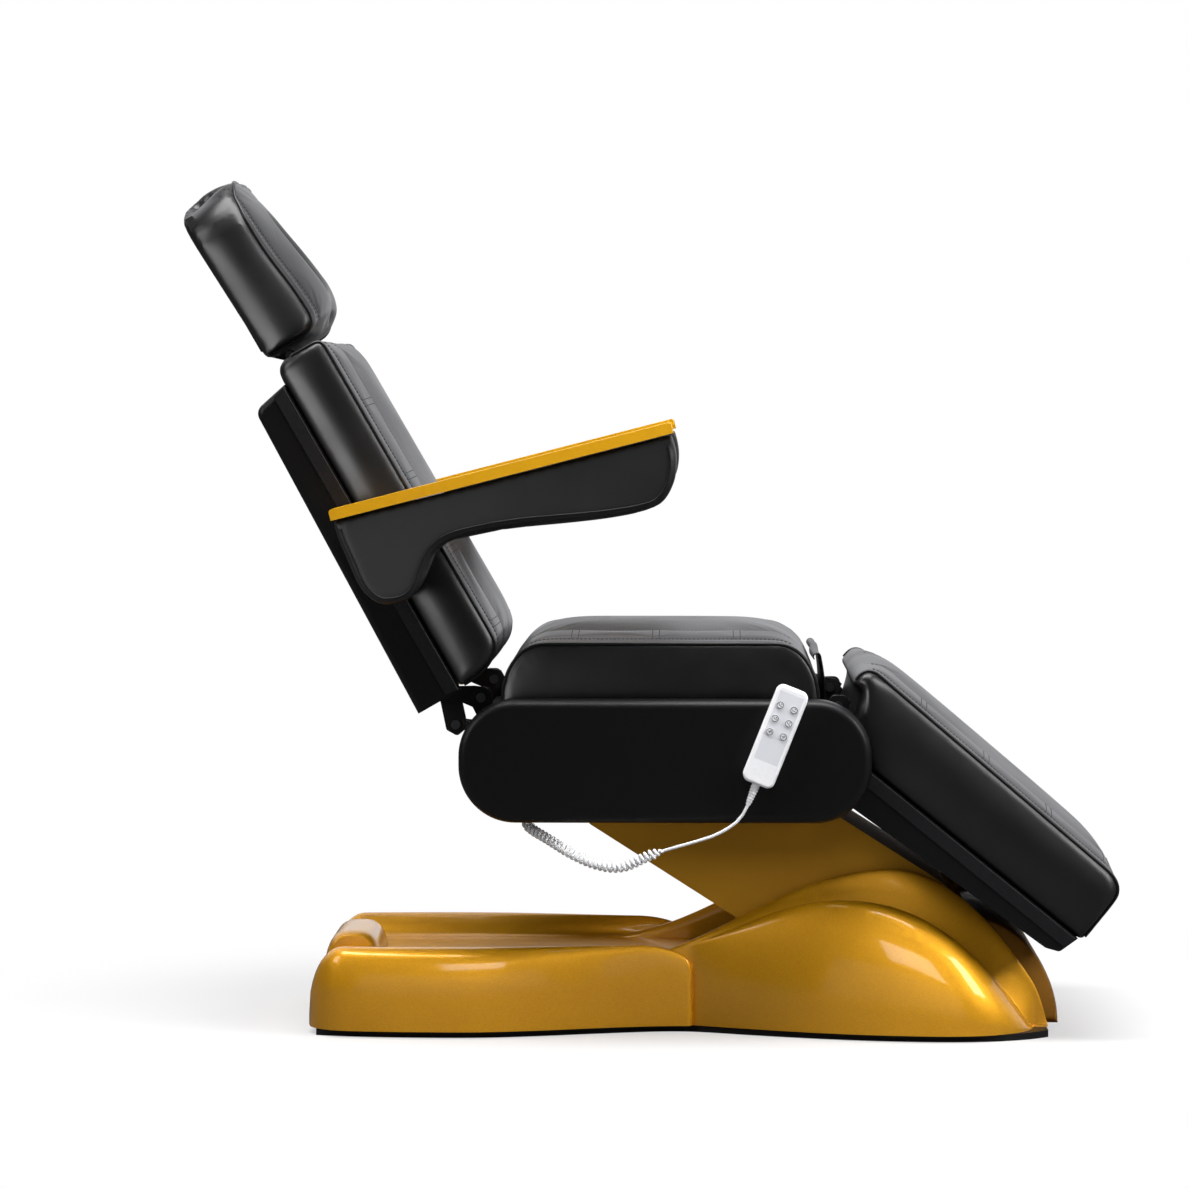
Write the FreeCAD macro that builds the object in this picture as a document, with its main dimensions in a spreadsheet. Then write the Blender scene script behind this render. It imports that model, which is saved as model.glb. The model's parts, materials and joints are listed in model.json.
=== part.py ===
"""Electric beauty bed: a moulded base with a lifting arm, a tilting back and leg rest, a headrest,
two fold-up armrests and a corded handset. X runs to the foot end, Z up, the origin is on the floor."""
import FreeCAD
import Part
import Sketcher
import math
import os
from FreeCAD import Vector

# Driving dimensions in millimetres and degrees
SIZES = {
    # moulded base, seen from above it is waisted like a peanut
    "base_length": 1102, "plate_thickness": 10, "plate_inset": 14,
    "head_end_half_width": 222, "tray_half_width": 262, "waist_half_width": 187,
    "hump_half_width": 290, "foot_end_half_width": 190,
    "head_wide_x": -335, "waist_x": 16, "hump_wide_x": 390,
    "head_end_height": 36, "head_slope_length": 52, "rail_height": 130, "rail_end_length": 85,
    "waist_height": 92, "bulge_height": 200, "bulge_x": 235, "bulge_fall": 316, "foot_end_height": 26,
    "tray_floor": 100, "tray_end_x": -20, "crest_start_x": -133, "crest_height": 240, "crest_x": 305, "crest_fall": 246,
    "channel_half_width": 165, "fin_thickness": 10, "groove_depth": 14, "cover_wall": 4, "tray_step": 1.5,
    "bumper_half_width": 92, "bumper_height": 137, "bumper_length": 102,
    "foot_skin_x": 432, "foot_skin_drop": 14,
    "box_length": 150, "box_width": 130, "box_height": 58, "box_x": -400,
    "inlet_width": 50, "inlet_height": 28, "inlet_depth": 26, "inlet_z": 66,
    # lifting arm and the tie links that keep the seat level
    "lower_pivot_x": 316, "lower_pivot_z": 140, "arm_length": 447, "arm_slope": 32.5,
    "arm_half_depth": 104, "arm_half_width": 150, "arm_sheet": 4, "arm_plate": 5,
    "arm_top_length": 325, "arm_tail": 40, "boss_radius": 32,
    "pivot_pin_radius": 10, "tie_pin_radius": 8, "bush_radius": 16, "running_gap": 0.4,
    "tie_drop": 60, "tie_height": 32, "tie_thickness": 10, "tie_y": 98,
    "bracket_y": 118, "bracket_plate": 8, "pedestal_length": 130,
    "lug_reach": 79, "lug_rise": 38.6, "lug_plate": 8,
    # the three linear drives
    "rod_radius": 9, "tube_radius": 21, "tube_bore": 18, "drive_pin_radius": 7, "eye_radius": 15,
    "eye_half_width": 11, "fork_gap": 1, "housing_half_height": 26, "housing_start": 20,
    "housing_end": 105, "motor_radius": 24, "motor_offset": 47, "motor_length": 72,
    "lift_drive_length": 355, "lift_drive_slope": 29.2, "lift_tube_end": 240, "lift_rod_start": 150,
    "back_drive_length": 405, "back_drive_slope": 6, "back_tube_end": 222, "back_rod_start": 169,
    "leg_drive_length": 394, "leg_drive_slope": 2, "leg_tube_end": 240, "leg_rod_start": 119,
    "drive_y": 60,
    # seat, measured from the arm's upper pivot
    "seat_front": 261, "seat_length": 462, "seat_half_width": 290, "seat_thickness": 101,
    "seat_crown": 22, "seat_end_round": 62, "seat_end_drop": 82, "cushion_draw_in": 5,
    "frame_bottom": 60, "rail_tube_height": 30, "rail_tube_width": 40, "rail_outer_y": 275,
    "cross_height": 20, "cross_width": 30, "frame_front": 266, "frame_length": 495,
    "board_thickness": 12, "board_inset": 12,
    "panel_front": 335, "panel_length": 596, "panel_bottom": -57, "panel_height": 178,
    "panel_inner_y": 297, "panel_thickness": 38, "panel_corner": 82, "panel_edge": 13,
    "flap_half_width": 200, "flap_thickness": 5, "flap_top": 172,
    "hinge_plate": 8, "hinge_y": 203, "hinge_pin_radius": 7, "hinge_eye": 16, "hinge_gap": 4,
    # back rest, measured from its hinge: n is forward, along is up the back
    "back_hinge_x": -233, "back_hinge_z": 117, "back_lean": 30,
    "back_start": 30, "back_end": 569, "back_rear": -15, "back_thickness": 82, "back_crown": 22,
    "back_half_width": 290, "back_end_round": 40, "back_end_drop": 62,
    "back_cover_start": 27, "back_cover_top_gap": 32, "back_cover_bottom_depth": 71,
    "back_cover_top_depth": 56, "back_cover_half_width": 285, "back_cover_slant": 12,
    "back_frame_start": 45, "back_frame_top_gap": 49, "back_tube": 30, "back_upright_y": 240,
    "lever_n": -73.7, "lever_along": -25.6, "lever_width": 33,
    "post_y": 60, "post_radius": 9, "post_reach": 159, "sleeve_radius": 13, "post_channel_gap": 1, "sleeve_length": 120,
    "head_hinge_n": -2, "head_hinge_rise": 10, "head_bar_radius": 6, "head_bar_half_width": 90,
    "head_above_hinge": 10, "head_length": 248, "head_rear": -30, "head_thickness": 92, "head_lug_edge": 3, "head_crown": 20,
    "head_half_width": 175, "head_end_round": 22, "head_end_drop": 26,
    "hollow_length": 178, "hollow_width": 104, "hollow_depth": 26,
    # armrests, measured from their pivot bolt
    "armrest_n": -28, "armrest_along": 235, "armrest_rise": 14.4, "armrest_inner_y": 308,
    "armrest_width": 80, "armrest_back": -42, "armrest_front": 458, "armrest_top": 87.5,
    "armrest_plate": 16, "armrest_plate_overhang": 2, "armrest_edge": 12,
    "lobe_x": 18, "lobe_radius": 50, "nose_bottom": -10, "bolt_radius": 8, "hub_radius": 20,
    "hub_length": 36, "bolt_start_y": 272, "bolt_plate": 8,
    # leg rest, measured from its hinge: along runs down the leg, n is up
    "leg_hinge_x": 289, "leg_hinge_z": 105, "leg_drop": 39,
    "leg_start": -2, "leg_end": 485, "leg_bottom": -40, "leg_top": 76, "leg_taper": 12,
    "leg_crown": 20, "leg_half_width": 290, "leg_nose_length": 40, "leg_nose_bottom": 40,
    "leg_end_round": 34, "leg_end_drop": 22,
    "leg_cover_start": 62, "leg_cover_end_gap": 7, "leg_cover_deep": 61, "leg_cover_shallow": 40,
    "leg_cover_half_width": 285, "leg_frame_start": 48, "leg_frame_end_gap": 65, "leg_tube": 20,
    "leg_lever_along": 22.9, "leg_lever_n": -66.4,
    # handset, measured from its centre, and its cord
    "handset_x": 195.5, "handset_z": 71, "handset_lean": 21.7, "handset_length": 148,
    "handset_width": 48, "handset_thickness": 22, "handset_back_y": 342, "handset_corner": 11,
    "keypad_length": 104, "keypad_width": 36, "keypad_rise": 13, "keypad_thickness": 1.6,
    "button_radius": 5, "button_height": 3, "button_columns": 21, "button_rows": 20.5,
    "button_top": 45, "button_gap": 0.3, "hanger_plate": 2, "hanger_width": 26, "hanger_height": 34,
    "hook_thickness": 2.4, "hook_width": 16, "hook_drop": 16,
    "relief_length": 32, "relief_radius": 6, "cord_radius": 2.3,
    "gland_radius": 8, "gland_length": 30, "gland_x": -185, "gland_y": 258,
    "curl_radius": 6, "curl_count": 34,
}

doc = FreeCAD.newDocument("beauty_bed")


class Size:
    """A size that knows its number and the sheet expression that gives it."""

    def __init__(self, value, text):
        self.value = float(value)
        self.text = text

    def __add__(self, other):
        other = size(other)
        return Size(self.value + other.value, f"({self.text} + {other.text})")

    def __sub__(self, other):
        other = size(other)
        return Size(self.value - other.value, f"({self.text} - {other.text})")

    def __mul__(self, other):
        other = size(other)
        return Size(self.value * other.value, f"({self.text} * {other.text})")

    def __truediv__(self, other):
        other = size(other)
        return Size(self.value / other.value, f"({self.text} / {other.text})")

    def __radd__(self, other):
        return size(other) + self

    def __rsub__(self, other):
        return size(other) - self

    def __rmul__(self, other):
        return size(other) * self

    def __neg__(self):
        return size(0) - self


def size(value):
    return value if isinstance(value, Size) else Size(value, repr(float(value)))


def sine(angle):
    return Size(math.sin(math.radians(angle.value)), f"sin({angle.text})")


def cosine(angle):
    return Size(math.cos(math.radians(angle.value)), f"cos({angle.text})")


class Sheet:
    """The spreadsheet of driving dimensions; each alias is an attribute that holds a Size."""

    def __init__(self, values):
        cells = doc.addObject("Spreadsheet::Sheet", "dims")
        for row, (alias, value) in enumerate(values.items(), start=1):
            cells.set(f"A{row}", alias)
            cells.set(f"B{row}", str(value))
            cells.setAlias(f"B{row}", alias)
            setattr(self, alias, Size(value, f"dims.{alias}"))
        doc.recompute()


d = Sheet(SIZES)


class Frame:
    """A place in the XZ plane, turned about Y: a positive tilt drops its X axis."""

    def __init__(self, x, z, tilt=None, backward=False):
        self.x = size(x)
        self.z = size(z)
        self.tilt = size(0) if tilt is None else size(tilt)
        self.sign = -1 if backward else 1

    def point(self, x, z):
        x = size(x)
        z = size(z)
        across = sine(self.tilt) * self.sign
        level = cosine(self.tilt)
        return self.x + x * level + z * across, self.z - x * across + z * level


def bind(thing, name, value):
    thing.setExpression(name, size(value).text)


def place(thing, frame, x=0, y=0, z=0):
    """Put a thing at a point of a frame and turn it with the frame."""
    at_x, at_z = frame.point(x, z)
    at_y = size(y)
    turn = FreeCAD.Rotation(Vector(0, frame.sign, 0), frame.tilt.value)
    thing.Placement = FreeCAD.Placement(Vector(at_x.value, at_y.value, at_z.value), turn)
    bind(thing, "Placement.Base.x", at_x)
    bind(thing, "Placement.Base.y", at_y)
    bind(thing, "Placement.Base.z", at_z)
    if frame.tilt.value:
        bind(thing, "Placement.Rotation.Angle", frame.tilt)
    return thing


def origin_plane(body):
    return next(item for item in body.Origin.OriginFeatures if item.Role == "XZ_Plane")


def new_sketch(body, name, middle):
    sketch = body.newObject("Sketcher::SketchObject", name)
    sketch.AttachmentSupport = [(origin_plane(body), "")]
    sketch.MapMode = "FlatFace"
    bind(sketch, "AttachmentOffset.Base.z", -size(middle))
    return sketch


def fix(sketch, kind, index, vertex, value):
    value = size(value)
    number = sketch.addConstraint(Sketcher.Constraint(kind, -1, 1, index, vertex, value.value))
    sketch.setExpression(f"Constraints[{number}]", value.text)


def outline_sketch(body, name, outline, middle):
    """A closed outline of straight lines whose corners are bound to sizes."""
    sketch = new_sketch(body, name, middle)
    corners = [(size(x), size(z)) for x, z in outline]
    count = len(corners)
    for index, (x, z) in enumerate(corners):
        next_x, next_z = corners[(index + 1) % count]
        start = Vector(x.value, z.value, 0)
        sketch.addGeometry(Part.LineSegment(start, Vector(next_x.value, next_z.value, 0)))
    for index, (x, z) in enumerate(corners):
        sketch.addConstraint(Sketcher.Constraint("Coincident", index, 2, (index + 1) % count, 1))
        fix(sketch, "DistanceX", index, 1, x)
        fix(sketch, "DistanceY", index, 1, z)
    return sketch


def pad(body, name, outline, y_from, y_to):
    y_from = size(y_from)
    y_to = size(y_to)
    feature = body.newObject("PartDesign::Pad", name)
    feature.Profile = outline_sketch(body, name + "_outline", outline, (y_from + y_to) / 2)
    feature.Midplane = True
    bind(feature, "Length", y_to - y_from)
    return feature


def pocket(body, name, outline, y_from, y_to):
    y_from = size(y_from)
    y_to = size(y_to)
    feature = body.newObject("PartDesign::Pocket", name)
    feature.Profile = outline_sketch(body, name + "_outline", outline, (y_from + y_to) / 2)
    feature.Midplane = True
    bind(feature, "Length", y_to - y_from)
    return feature


def bore(body, name, x, z, radius):
    """A round hole right through a body along Y."""
    sketch = new_sketch(body, name + "_circle", 0)
    x, z, radius = size(x), size(z), size(radius)
    sketch.addGeometry(Part.Circle(Vector(x.value, z.value, 0), Vector(0, 0, 1), radius.value))
    fix(sketch, "DistanceX", 0, 3, x)
    fix(sketch, "DistanceY", 0, 3, z)
    number = sketch.addConstraint(Sketcher.Constraint("Radius", 0, radius.value))
    sketch.setExpression(f"Constraints[{number}]", radius.text)
    feature = body.newObject("PartDesign::Pocket", name)
    feature.Profile = sketch
    feature.Midplane = True
    feature.Type = "ThroughAll"
    return feature


def round_corners(body, name, feature, corners, radius):
    """Round the edges along Y that stand on the given outline corners."""
    doc.recompute()
    spots = [(size(x).value, size(z).value) for x, z in corners]
    edges = []
    for number, edge in enumerate(feature.Shape.Edges, start=1):
        ends = [vertex.Point for vertex in edge.Vertexes]
        for x, z in spots:
            if len(ends) == 2 and all(math.hypot(end.x - x, end.z - z) < 1e-3 for end in ends):
                edges.append(f"Edge{number}")
    fillet = body.newObject("PartDesign::Fillet", name)
    fillet.Base = (feature, edges)
    bind(fillet, "Radius", radius)
    return fillet


def round_face(body, name, feature, y, radius):
    """Round the rim of the flat face that lies at one y."""
    doc.recompute()
    level = size(y).value
    edges = []
    for number, edge in enumerate(feature.Shape.Edges, start=1):
        if abs(edge.BoundBox.YMin - level) < 1e-3 and abs(edge.BoundBox.YMax - level) < 1e-3:
            edges.append(f"Edge{number}")
    fillet = body.newObject("PartDesign::Fillet", name)
    fillet.Base = (feature, edges)
    bind(fillet, "Radius", radius)
    return fillet


def new_body(name, frame):
    return place(doc.addObject("PartDesign::Body", name), frame)


def plate(name, frame, outline, y_from, y_to):
    body = new_body(name, frame)
    pad(body, name + "_pad", outline, y_from, y_to)
    return body


def box(name, frame, x, y, z):
    """A block between pairs of x, y and z in a frame."""
    block = doc.addObject("Part::Box", name)
    bind(block, "Length", size(x[1]) - x[0])
    bind(block, "Width", size(y[1]) - y[0])
    bind(block, "Height", size(z[1]) - z[0])
    return place(block, frame, x[0], y[0], z[0])


def pin(name, frame, x, z, radius, y_from, y_to):
    """A round bar along Y."""
    y_from = size(y_from)
    bar = doc.addObject("Part::Cylinder", name)
    bind(bar, "Radius", radius)
    bind(bar, "Height", size(y_to) - y_from)
    at_x, at_z = frame.point(x, z)
    turn = FreeCAD.Rotation(Vector(1, 0, 0), -90)
    bar.Placement = FreeCAD.Placement(Vector(at_x.value, y_from.value, at_z.value), turn)
    bind(bar, "Placement.Base.x", at_x)
    bind(bar, "Placement.Base.y", y_from)
    bind(bar, "Placement.Base.z", at_z)
    return bar


def bar_up(name, frame, x, y, radius, z_from, z_to):
    """A round bar along a frame's own Z axis."""
    bar = doc.addObject("Part::Cylinder", name)
    bind(bar, "Radius", radius)
    bind(bar, "Height", size(z_to) - z_from)
    return place(bar, frame, x, y, z_from)


def fuse(name, things):
    joined = doc.addObject("Part::MultiFuse", name)
    joined.Shapes = things
    joined.Refine = True
    return joined


def cut(name, base, tool):
    result = doc.addObject("Part::Cut", name)
    result.Base = base
    result.Tool = tool
    return result


def group(name, things):
    bundle = doc.addObject("Part::Compound", name)
    bundle.Links = things
    return bundle


def mirror(name, thing):
    twin = doc.addObject("Part::Mirroring", name)
    twin.Source = thing
    twin.Normal = Vector(0, 1, 0)
    twin.Base = Vector(0, 0, 0)
    return twin


def pair(name, thing):
    """A piece and its mirror twin, as two solids of one part."""
    return group(name, [thing, mirror(name + "_twin", thing)])


def feature(name, shape, frame):
    thing = doc.addObject("Part::Feature", name)
    thing.Shape = shape
    return place(thing, frame)


# Places that the moving groups are measured from
# lengths that follow from others: how far up the back, or down the leg, things reach
BACK_COVER_END = d.back_end - d.back_cover_top_gap
BACK_FRAME_END = d.back_end - d.back_frame_top_gap
POST_START = d.back_end - d.post_reach
HEAD_HINGE = d.back_end + d.head_hinge_rise
HEAD_START = HEAD_HINGE + d.head_above_hinge
HEAD_END = HEAD_START + d.head_length
LEG_COVER_END = d.leg_end - d.leg_cover_end_gap
LEG_FRAME_END = d.leg_end - d.leg_frame_end_gap

WORLD = Frame(0, 0)
ARM = Frame(d.lower_pivot_x, d.lower_pivot_z, d.arm_slope)
SEAT = Frame(*ARM.point(-d.arm_length, 0))
BACK = Frame(*SEAT.point(d.back_hinge_x, d.back_hinge_z), d.back_lean, backward=True)
LEG = Frame(*SEAT.point(d.leg_hinge_x, d.leg_hinge_z), d.leg_drop)
ARMREST = Frame(*BACK.point(d.armrest_n, d.armrest_along), d.armrest_rise, backward=True)
HANDSET = Frame(*SEAT.point(d.handset_x, d.handset_z), d.handset_lean)
LIFT_ROD = Frame(*ARM.point(-d.lug_reach, d.lug_rise), 90 - d.lift_drive_slope)
LIFT_DRIVE = Frame(*LIFT_ROD.point(0, -d.lift_drive_length), 90 - d.lift_drive_slope)
BACK_ROD = Frame(*BACK.point(d.lever_n, d.lever_along), 90 - d.back_drive_slope, backward=True)
BACK_DRIVE = Frame(*BACK_ROD.point(0, -d.back_drive_length), 90 - d.back_drive_slope, backward=True)
LEG_ROD = Frame(*LEG.point(d.leg_lever_along, d.leg_lever_n), 90 - d.leg_drive_slope)
LEG_DRIVE = Frame(*LEG_ROD.point(0, -d.leg_drive_length), 90 - d.leg_drive_slope)

parts = {}


def keep(name, thing):
    """Name a finished piece."""
    thing.Label = name
    parts[name] = thing


# Moulded base: heights and half widths at a place along X


def ease(share):
    return (1 - math.cos(math.pi * min(max(share, 0), 1))) / 2


def quarter(share):
    share = min(max(share, 0), 1)
    return math.sqrt(1 - (1 - share) ** 2)


def base_half_width(x):
    head = -d.base_length.value / 2
    foot = d.base_length.value / 2
    if x < d.head_wide_x.value:
        share = (x - head) / (d.head_wide_x.value - head)
        spread = d.tray_half_width.value - d.head_end_half_width.value
        return d.head_end_half_width.value + spread * quarter(share)
    if x < d.waist_x.value:
        share = (x - d.head_wide_x.value) / (d.waist_x.value - d.head_wide_x.value)
        return d.tray_half_width.value + (d.waist_half_width.value - d.tray_half_width.value) * ease(share)
    if x < d.hump_wide_x.value:
        share = (x - d.waist_x.value) / (d.hump_wide_x.value - d.waist_x.value)
        flare = d.hump_half_width.value - d.waist_half_width.value
        return d.waist_half_width.value + flare * math.sin(math.pi / 2 * share)
    share = (foot - x) / (foot - d.hump_wide_x.value)
    spread = d.hump_half_width.value - d.foot_end_half_width.value
    return d.foot_end_half_width.value + spread * quarter(share)


def base_side_height(x):
    """The rail's top at the head half, the bulge's top at the foot half."""
    head = -d.base_length.value / 2
    if x < d.waist_x.value:
        rise = quarter((x - head) / d.head_slope_length.value)
        front = d.head_end_height.value + (d.rail_height.value - d.head_end_height.value) * rise
        rounding = quarter((d.waist_x.value - x) / d.rail_end_length.value)
        return min(front, d.waist_height.value + (d.rail_height.value - d.waist_height.value) * rounding)
    if x < d.bulge_x.value:
        share = (x - d.waist_x.value) / (d.bulge_x.value - d.waist_x.value)
        return d.waist_height.value + (d.bulge_height.value - d.waist_height.value) * math.sin(math.pi / 2 * share)
    share = min((x - d.bulge_x.value) / d.bulge_fall.value, 1)
    return d.bulge_height.value - (d.bulge_height.value - d.foot_end_height.value) * share ** 2


def base_crest_height(x):
    """The fin beside the arm's channel; it starts level with the tray floor."""
    if x < d.crest_x.value:
        share = (x - d.crest_start_x.value) / (d.crest_x.value - d.crest_start_x.value)
        crest = d.tray_floor.value + (d.crest_height.value - d.tray_floor.value) * ease(share)
        return min(crest, base_side_height(x)) if x < d.crest_start_x.value else crest
    share = min((x - d.crest_x.value) / d.crest_fall.value, 1)
    return d.crest_height.value - (d.crest_height.value - d.foot_end_height.value - 2) * share ** 2


def base_valley_height(x):
    """The bottom of the groove between the outer skin and the fin."""
    lower = min(base_side_height(x), base_crest_height(x))
    if x > d.waist_x.value:
        lower -= d.groove_depth.value
    return max(lower, min(d.tray_floor.value, base_side_height(x)))


def base_section(x):
    """Half of the cover's cross-section at x, from the outer foot up to the fin and down the channel."""
    floor = d.plate_thickness.value
    inner = d.channel_half_width.value
    outer = base_half_width(x)
    fin = inner + d.fin_thickness.value
    top = base_side_height(x)
    crest = base_crest_height(x)
    valley = base_valley_height(x)
    spread = outer - fin
    rise = top - floor

    def spot(share, z):
        return Vector(x, outer - share * spread, z)

    foot = spot(0, floor)
    shoulder = spot(0.04, floor + 0.6 * rise)
    crown = spot(0.48, top)
    groove = spot(0.86, valley)
    edges = [
        Part.LineSegment(foot, shoulder),
        Part.Arc(shoulder, spot(0.15, floor + 0.9 * rise), crown),
        Part.Arc(crown, spot(0.7, valley + 0.72 * (top - valley) + 0.04 * spread), groove),
        Part.LineSegment(groove, Vector(x, fin, crest)),
        Part.LineSegment(Vector(x, fin, crest), Vector(x, inner, crest)),
        Part.LineSegment(Vector(x, inner, crest), Vector(x, inner, floor)),
        Part.LineSegment(Vector(x, inner, floor), foot),
    ]
    return Part.Wire([edge.toShape() for edge in edges])


def base_hollow(x):
    """The space inside the cover at x; the moulding is thicker over it than beside it."""
    wall = d.cover_wall.value
    floor = d.plate_thickness.value - 1
    inner = d.channel_half_width.value + wall
    outer = base_half_width(x)
    spread = outer - inner
    roof = min(0.9 * base_side_height(x), base_valley_height(x)) - 2 * wall
    corners = [
        Vector(x, inner, floor),
        Vector(x, outer - 0.08 * spread - wall, floor),
        Vector(x, outer - 0.26 * spread - wall, roof),
        Vector(x, inner, roof),
        Vector(x, inner, floor),
    ]
    return Part.makePolygon(corners)


def base_loft(section, start, end, stations, end_shares=()):
    """A loft along one side of the base through a section drawn at even stations, and closer at the ends."""
    pace = (end - start) / (stations - 1)
    places = [start + pace * number for number in range(stations)]
    for share in end_shares:
        places += [start + pace * share, end - pace * share]
    return Part.makeLoft([section(x) for x in sorted(places)], True, True)


def profile_solid(points, half_width):
    """A profile in XZ drawn out to both sides of the middle."""
    corners = [Vector(x, -half_width, z) for x, z in points]
    return Part.Face(Part.makePolygon(corners + corners[:1])).extrude(Vector(0, 2 * half_width, 0))


def curved_sheet(points, wall, half_width):
    """A bent sheet across Y that follows a curve in XZ, with its thickness below."""
    above = Part.BSplineCurve()
    above.interpolate([Vector(x, -half_width, z) for x, z in points])
    below = Part.BSplineCurve()
    below.interpolate([Vector(x, -half_width, z - wall) for x, z in points])
    first, last = points[0], points[-1]
    ends = [
        Part.LineSegment(Vector(last[0], -half_width, last[1]), Vector(last[0], -half_width, last[1] - wall)),
        Part.LineSegment(Vector(first[0], -half_width, first[1] - wall), Vector(first[0], -half_width, first[1])),
    ]
    edges = [above.toShape(), ends[0].toShape(), below.toShape(), ends[1].toShape()]
    face = Part.Face(Part.Wire(Part.__sortEdges__(edges)))
    return face.extrude(Vector(0, 2 * half_width, 0))


def make_base_cover():
    """Two lofted sides, the tray with its sloped nose and bumper, and the closing skin at the foot."""
    wall = d.cover_wall.value
    reach = d.base_length.value / 2
    waist = d.waist_x.value
    spread = d.rail_end_length.value
    head_hollow = base_loft(base_hollow, -reach + 4 * wall, waist - 1.4 * spread, 9)
    foot_hollow = base_loft(base_hollow, waist + 1.4 * spread, reach - 4 * wall, 9)
    side = base_loft(base_section, -reach, reach, 33, (0.1, 0.3, 0.6)).cut([head_hollow, foot_hollow])
    across = d.channel_half_width.value + 0.4 * wall
    step = d.tray_step.value
    plinth = d.plate_thickness.value + step
    floor = d.tray_floor.value - step
    lip = d.head_end_height.value - step
    head = -reach + step
    slope = head + d.head_slope_length.value * 0.4
    tray_end = d.tray_end_x.value
    tray = profile_solid([(head, plinth), (head, lip), (slope, floor), (tray_end, floor), (tray_end, floor - wall),
                          (slope + wall, floor - wall), (head + wall, lip - wall / 2), (head + wall, plinth)], across)
    rise = d.bumper_height.value
    tail = head + d.bumper_length.value
    run = slope - head
    bumper = profile_solid([(slope - 0.4 * run, floor - 0.4 * (floor - lip)), (slope + 0.1 * run, rise - 12),
                            (slope + 0.8 * run, rise), (slope + 1.9 * run, rise), (tail, floor - wall / 2),
                            (slope + wall, floor - wall / 2)], d.bumper_half_width.value)
    start = d.foot_skin_x.value
    foot = reach - step
    skin_points = []
    for number in range(5):
        x = start + (foot - start) * number / 4
        fade = (foot - x) / (foot - start)
        skin_points.append((x, base_crest_height(x) - d.foot_skin_drop.value * fade - step))
    foot_skin = curved_sheet(skin_points, wall, across)
    foot_wall = Part.makeBox(wall, 2 * across, skin_points[-1][1] - 1 - plinth, Vector(foot - wall, -across, plinth))
    middle = tray.fuse(bumper)
    rear = foot_skin.fuse(foot_wall)
    twin = side.mirror(Vector(0, 0, 0), Vector(0, 1, 0))
    shell = side.fuse(middle).fuse(twin).fuse(rear)
    inlet = Part.makeBox(d.inlet_depth.value * 2, d.inlet_width.value, d.inlet_height.value,
                         Vector(-reach - d.inlet_depth.value, -d.inlet_width.value / 2,
                                d.inlet_z.value - d.inlet_height.value / 2))
    return shell.cut(inlet)


def make_base_plate():
    """The floor plate follows the cover's outline, set in under it."""
    reach = d.base_length.value / 2 - d.plate_inset.value
    stations = 15
    points = []
    for number in range(stations):
        x = -reach + 2 * reach * number / (stations - 1)
        points.append(Vector(x, base_half_width(x) - d.plate_inset.value, 0))
    near = Part.BSplineCurve()
    near.interpolate(points)
    far = Part.BSplineCurve()
    far.interpolate([Vector(point.x, -point.y, 0) for point in reversed(points)])
    edges = [
        near.toShape(),
        Part.LineSegment(points[-1], Vector(points[-1].x, -points[-1].y, 0)).toShape(),
        far.toShape(),
        Part.LineSegment(Vector(points[0].x, -points[0].y, 0), points[0]).toShape(),
    ]
    return Part.Face(Part.Wire(edges)).extrude(Vector(0, 0, d.plate_thickness.value))


def build_base():
    keep("base_plate", feature("base_plate", make_base_plate(), WORLD))
    keep("base_cover", feature("base_cover", make_base_cover(), WORLD))
    top = d.plate_thickness
    keep("control_box", box("control_box", WORLD, (d.box_x, d.box_x + d.box_length),
                            (-d.box_width / 2, d.box_width / 2), (top, top + d.box_height)))
    head = -d.base_length / 2
    half = d.inlet_width / 2
    keep("power_inlet", box("power_inlet", WORLD, (head + d.head_slope_length * 0.1, head + d.inlet_depth),
                            (-half, half), (d.inlet_z - d.inlet_height / 2, d.inlet_z + d.inlet_height / 2)))
    build_pedestal()


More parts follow.
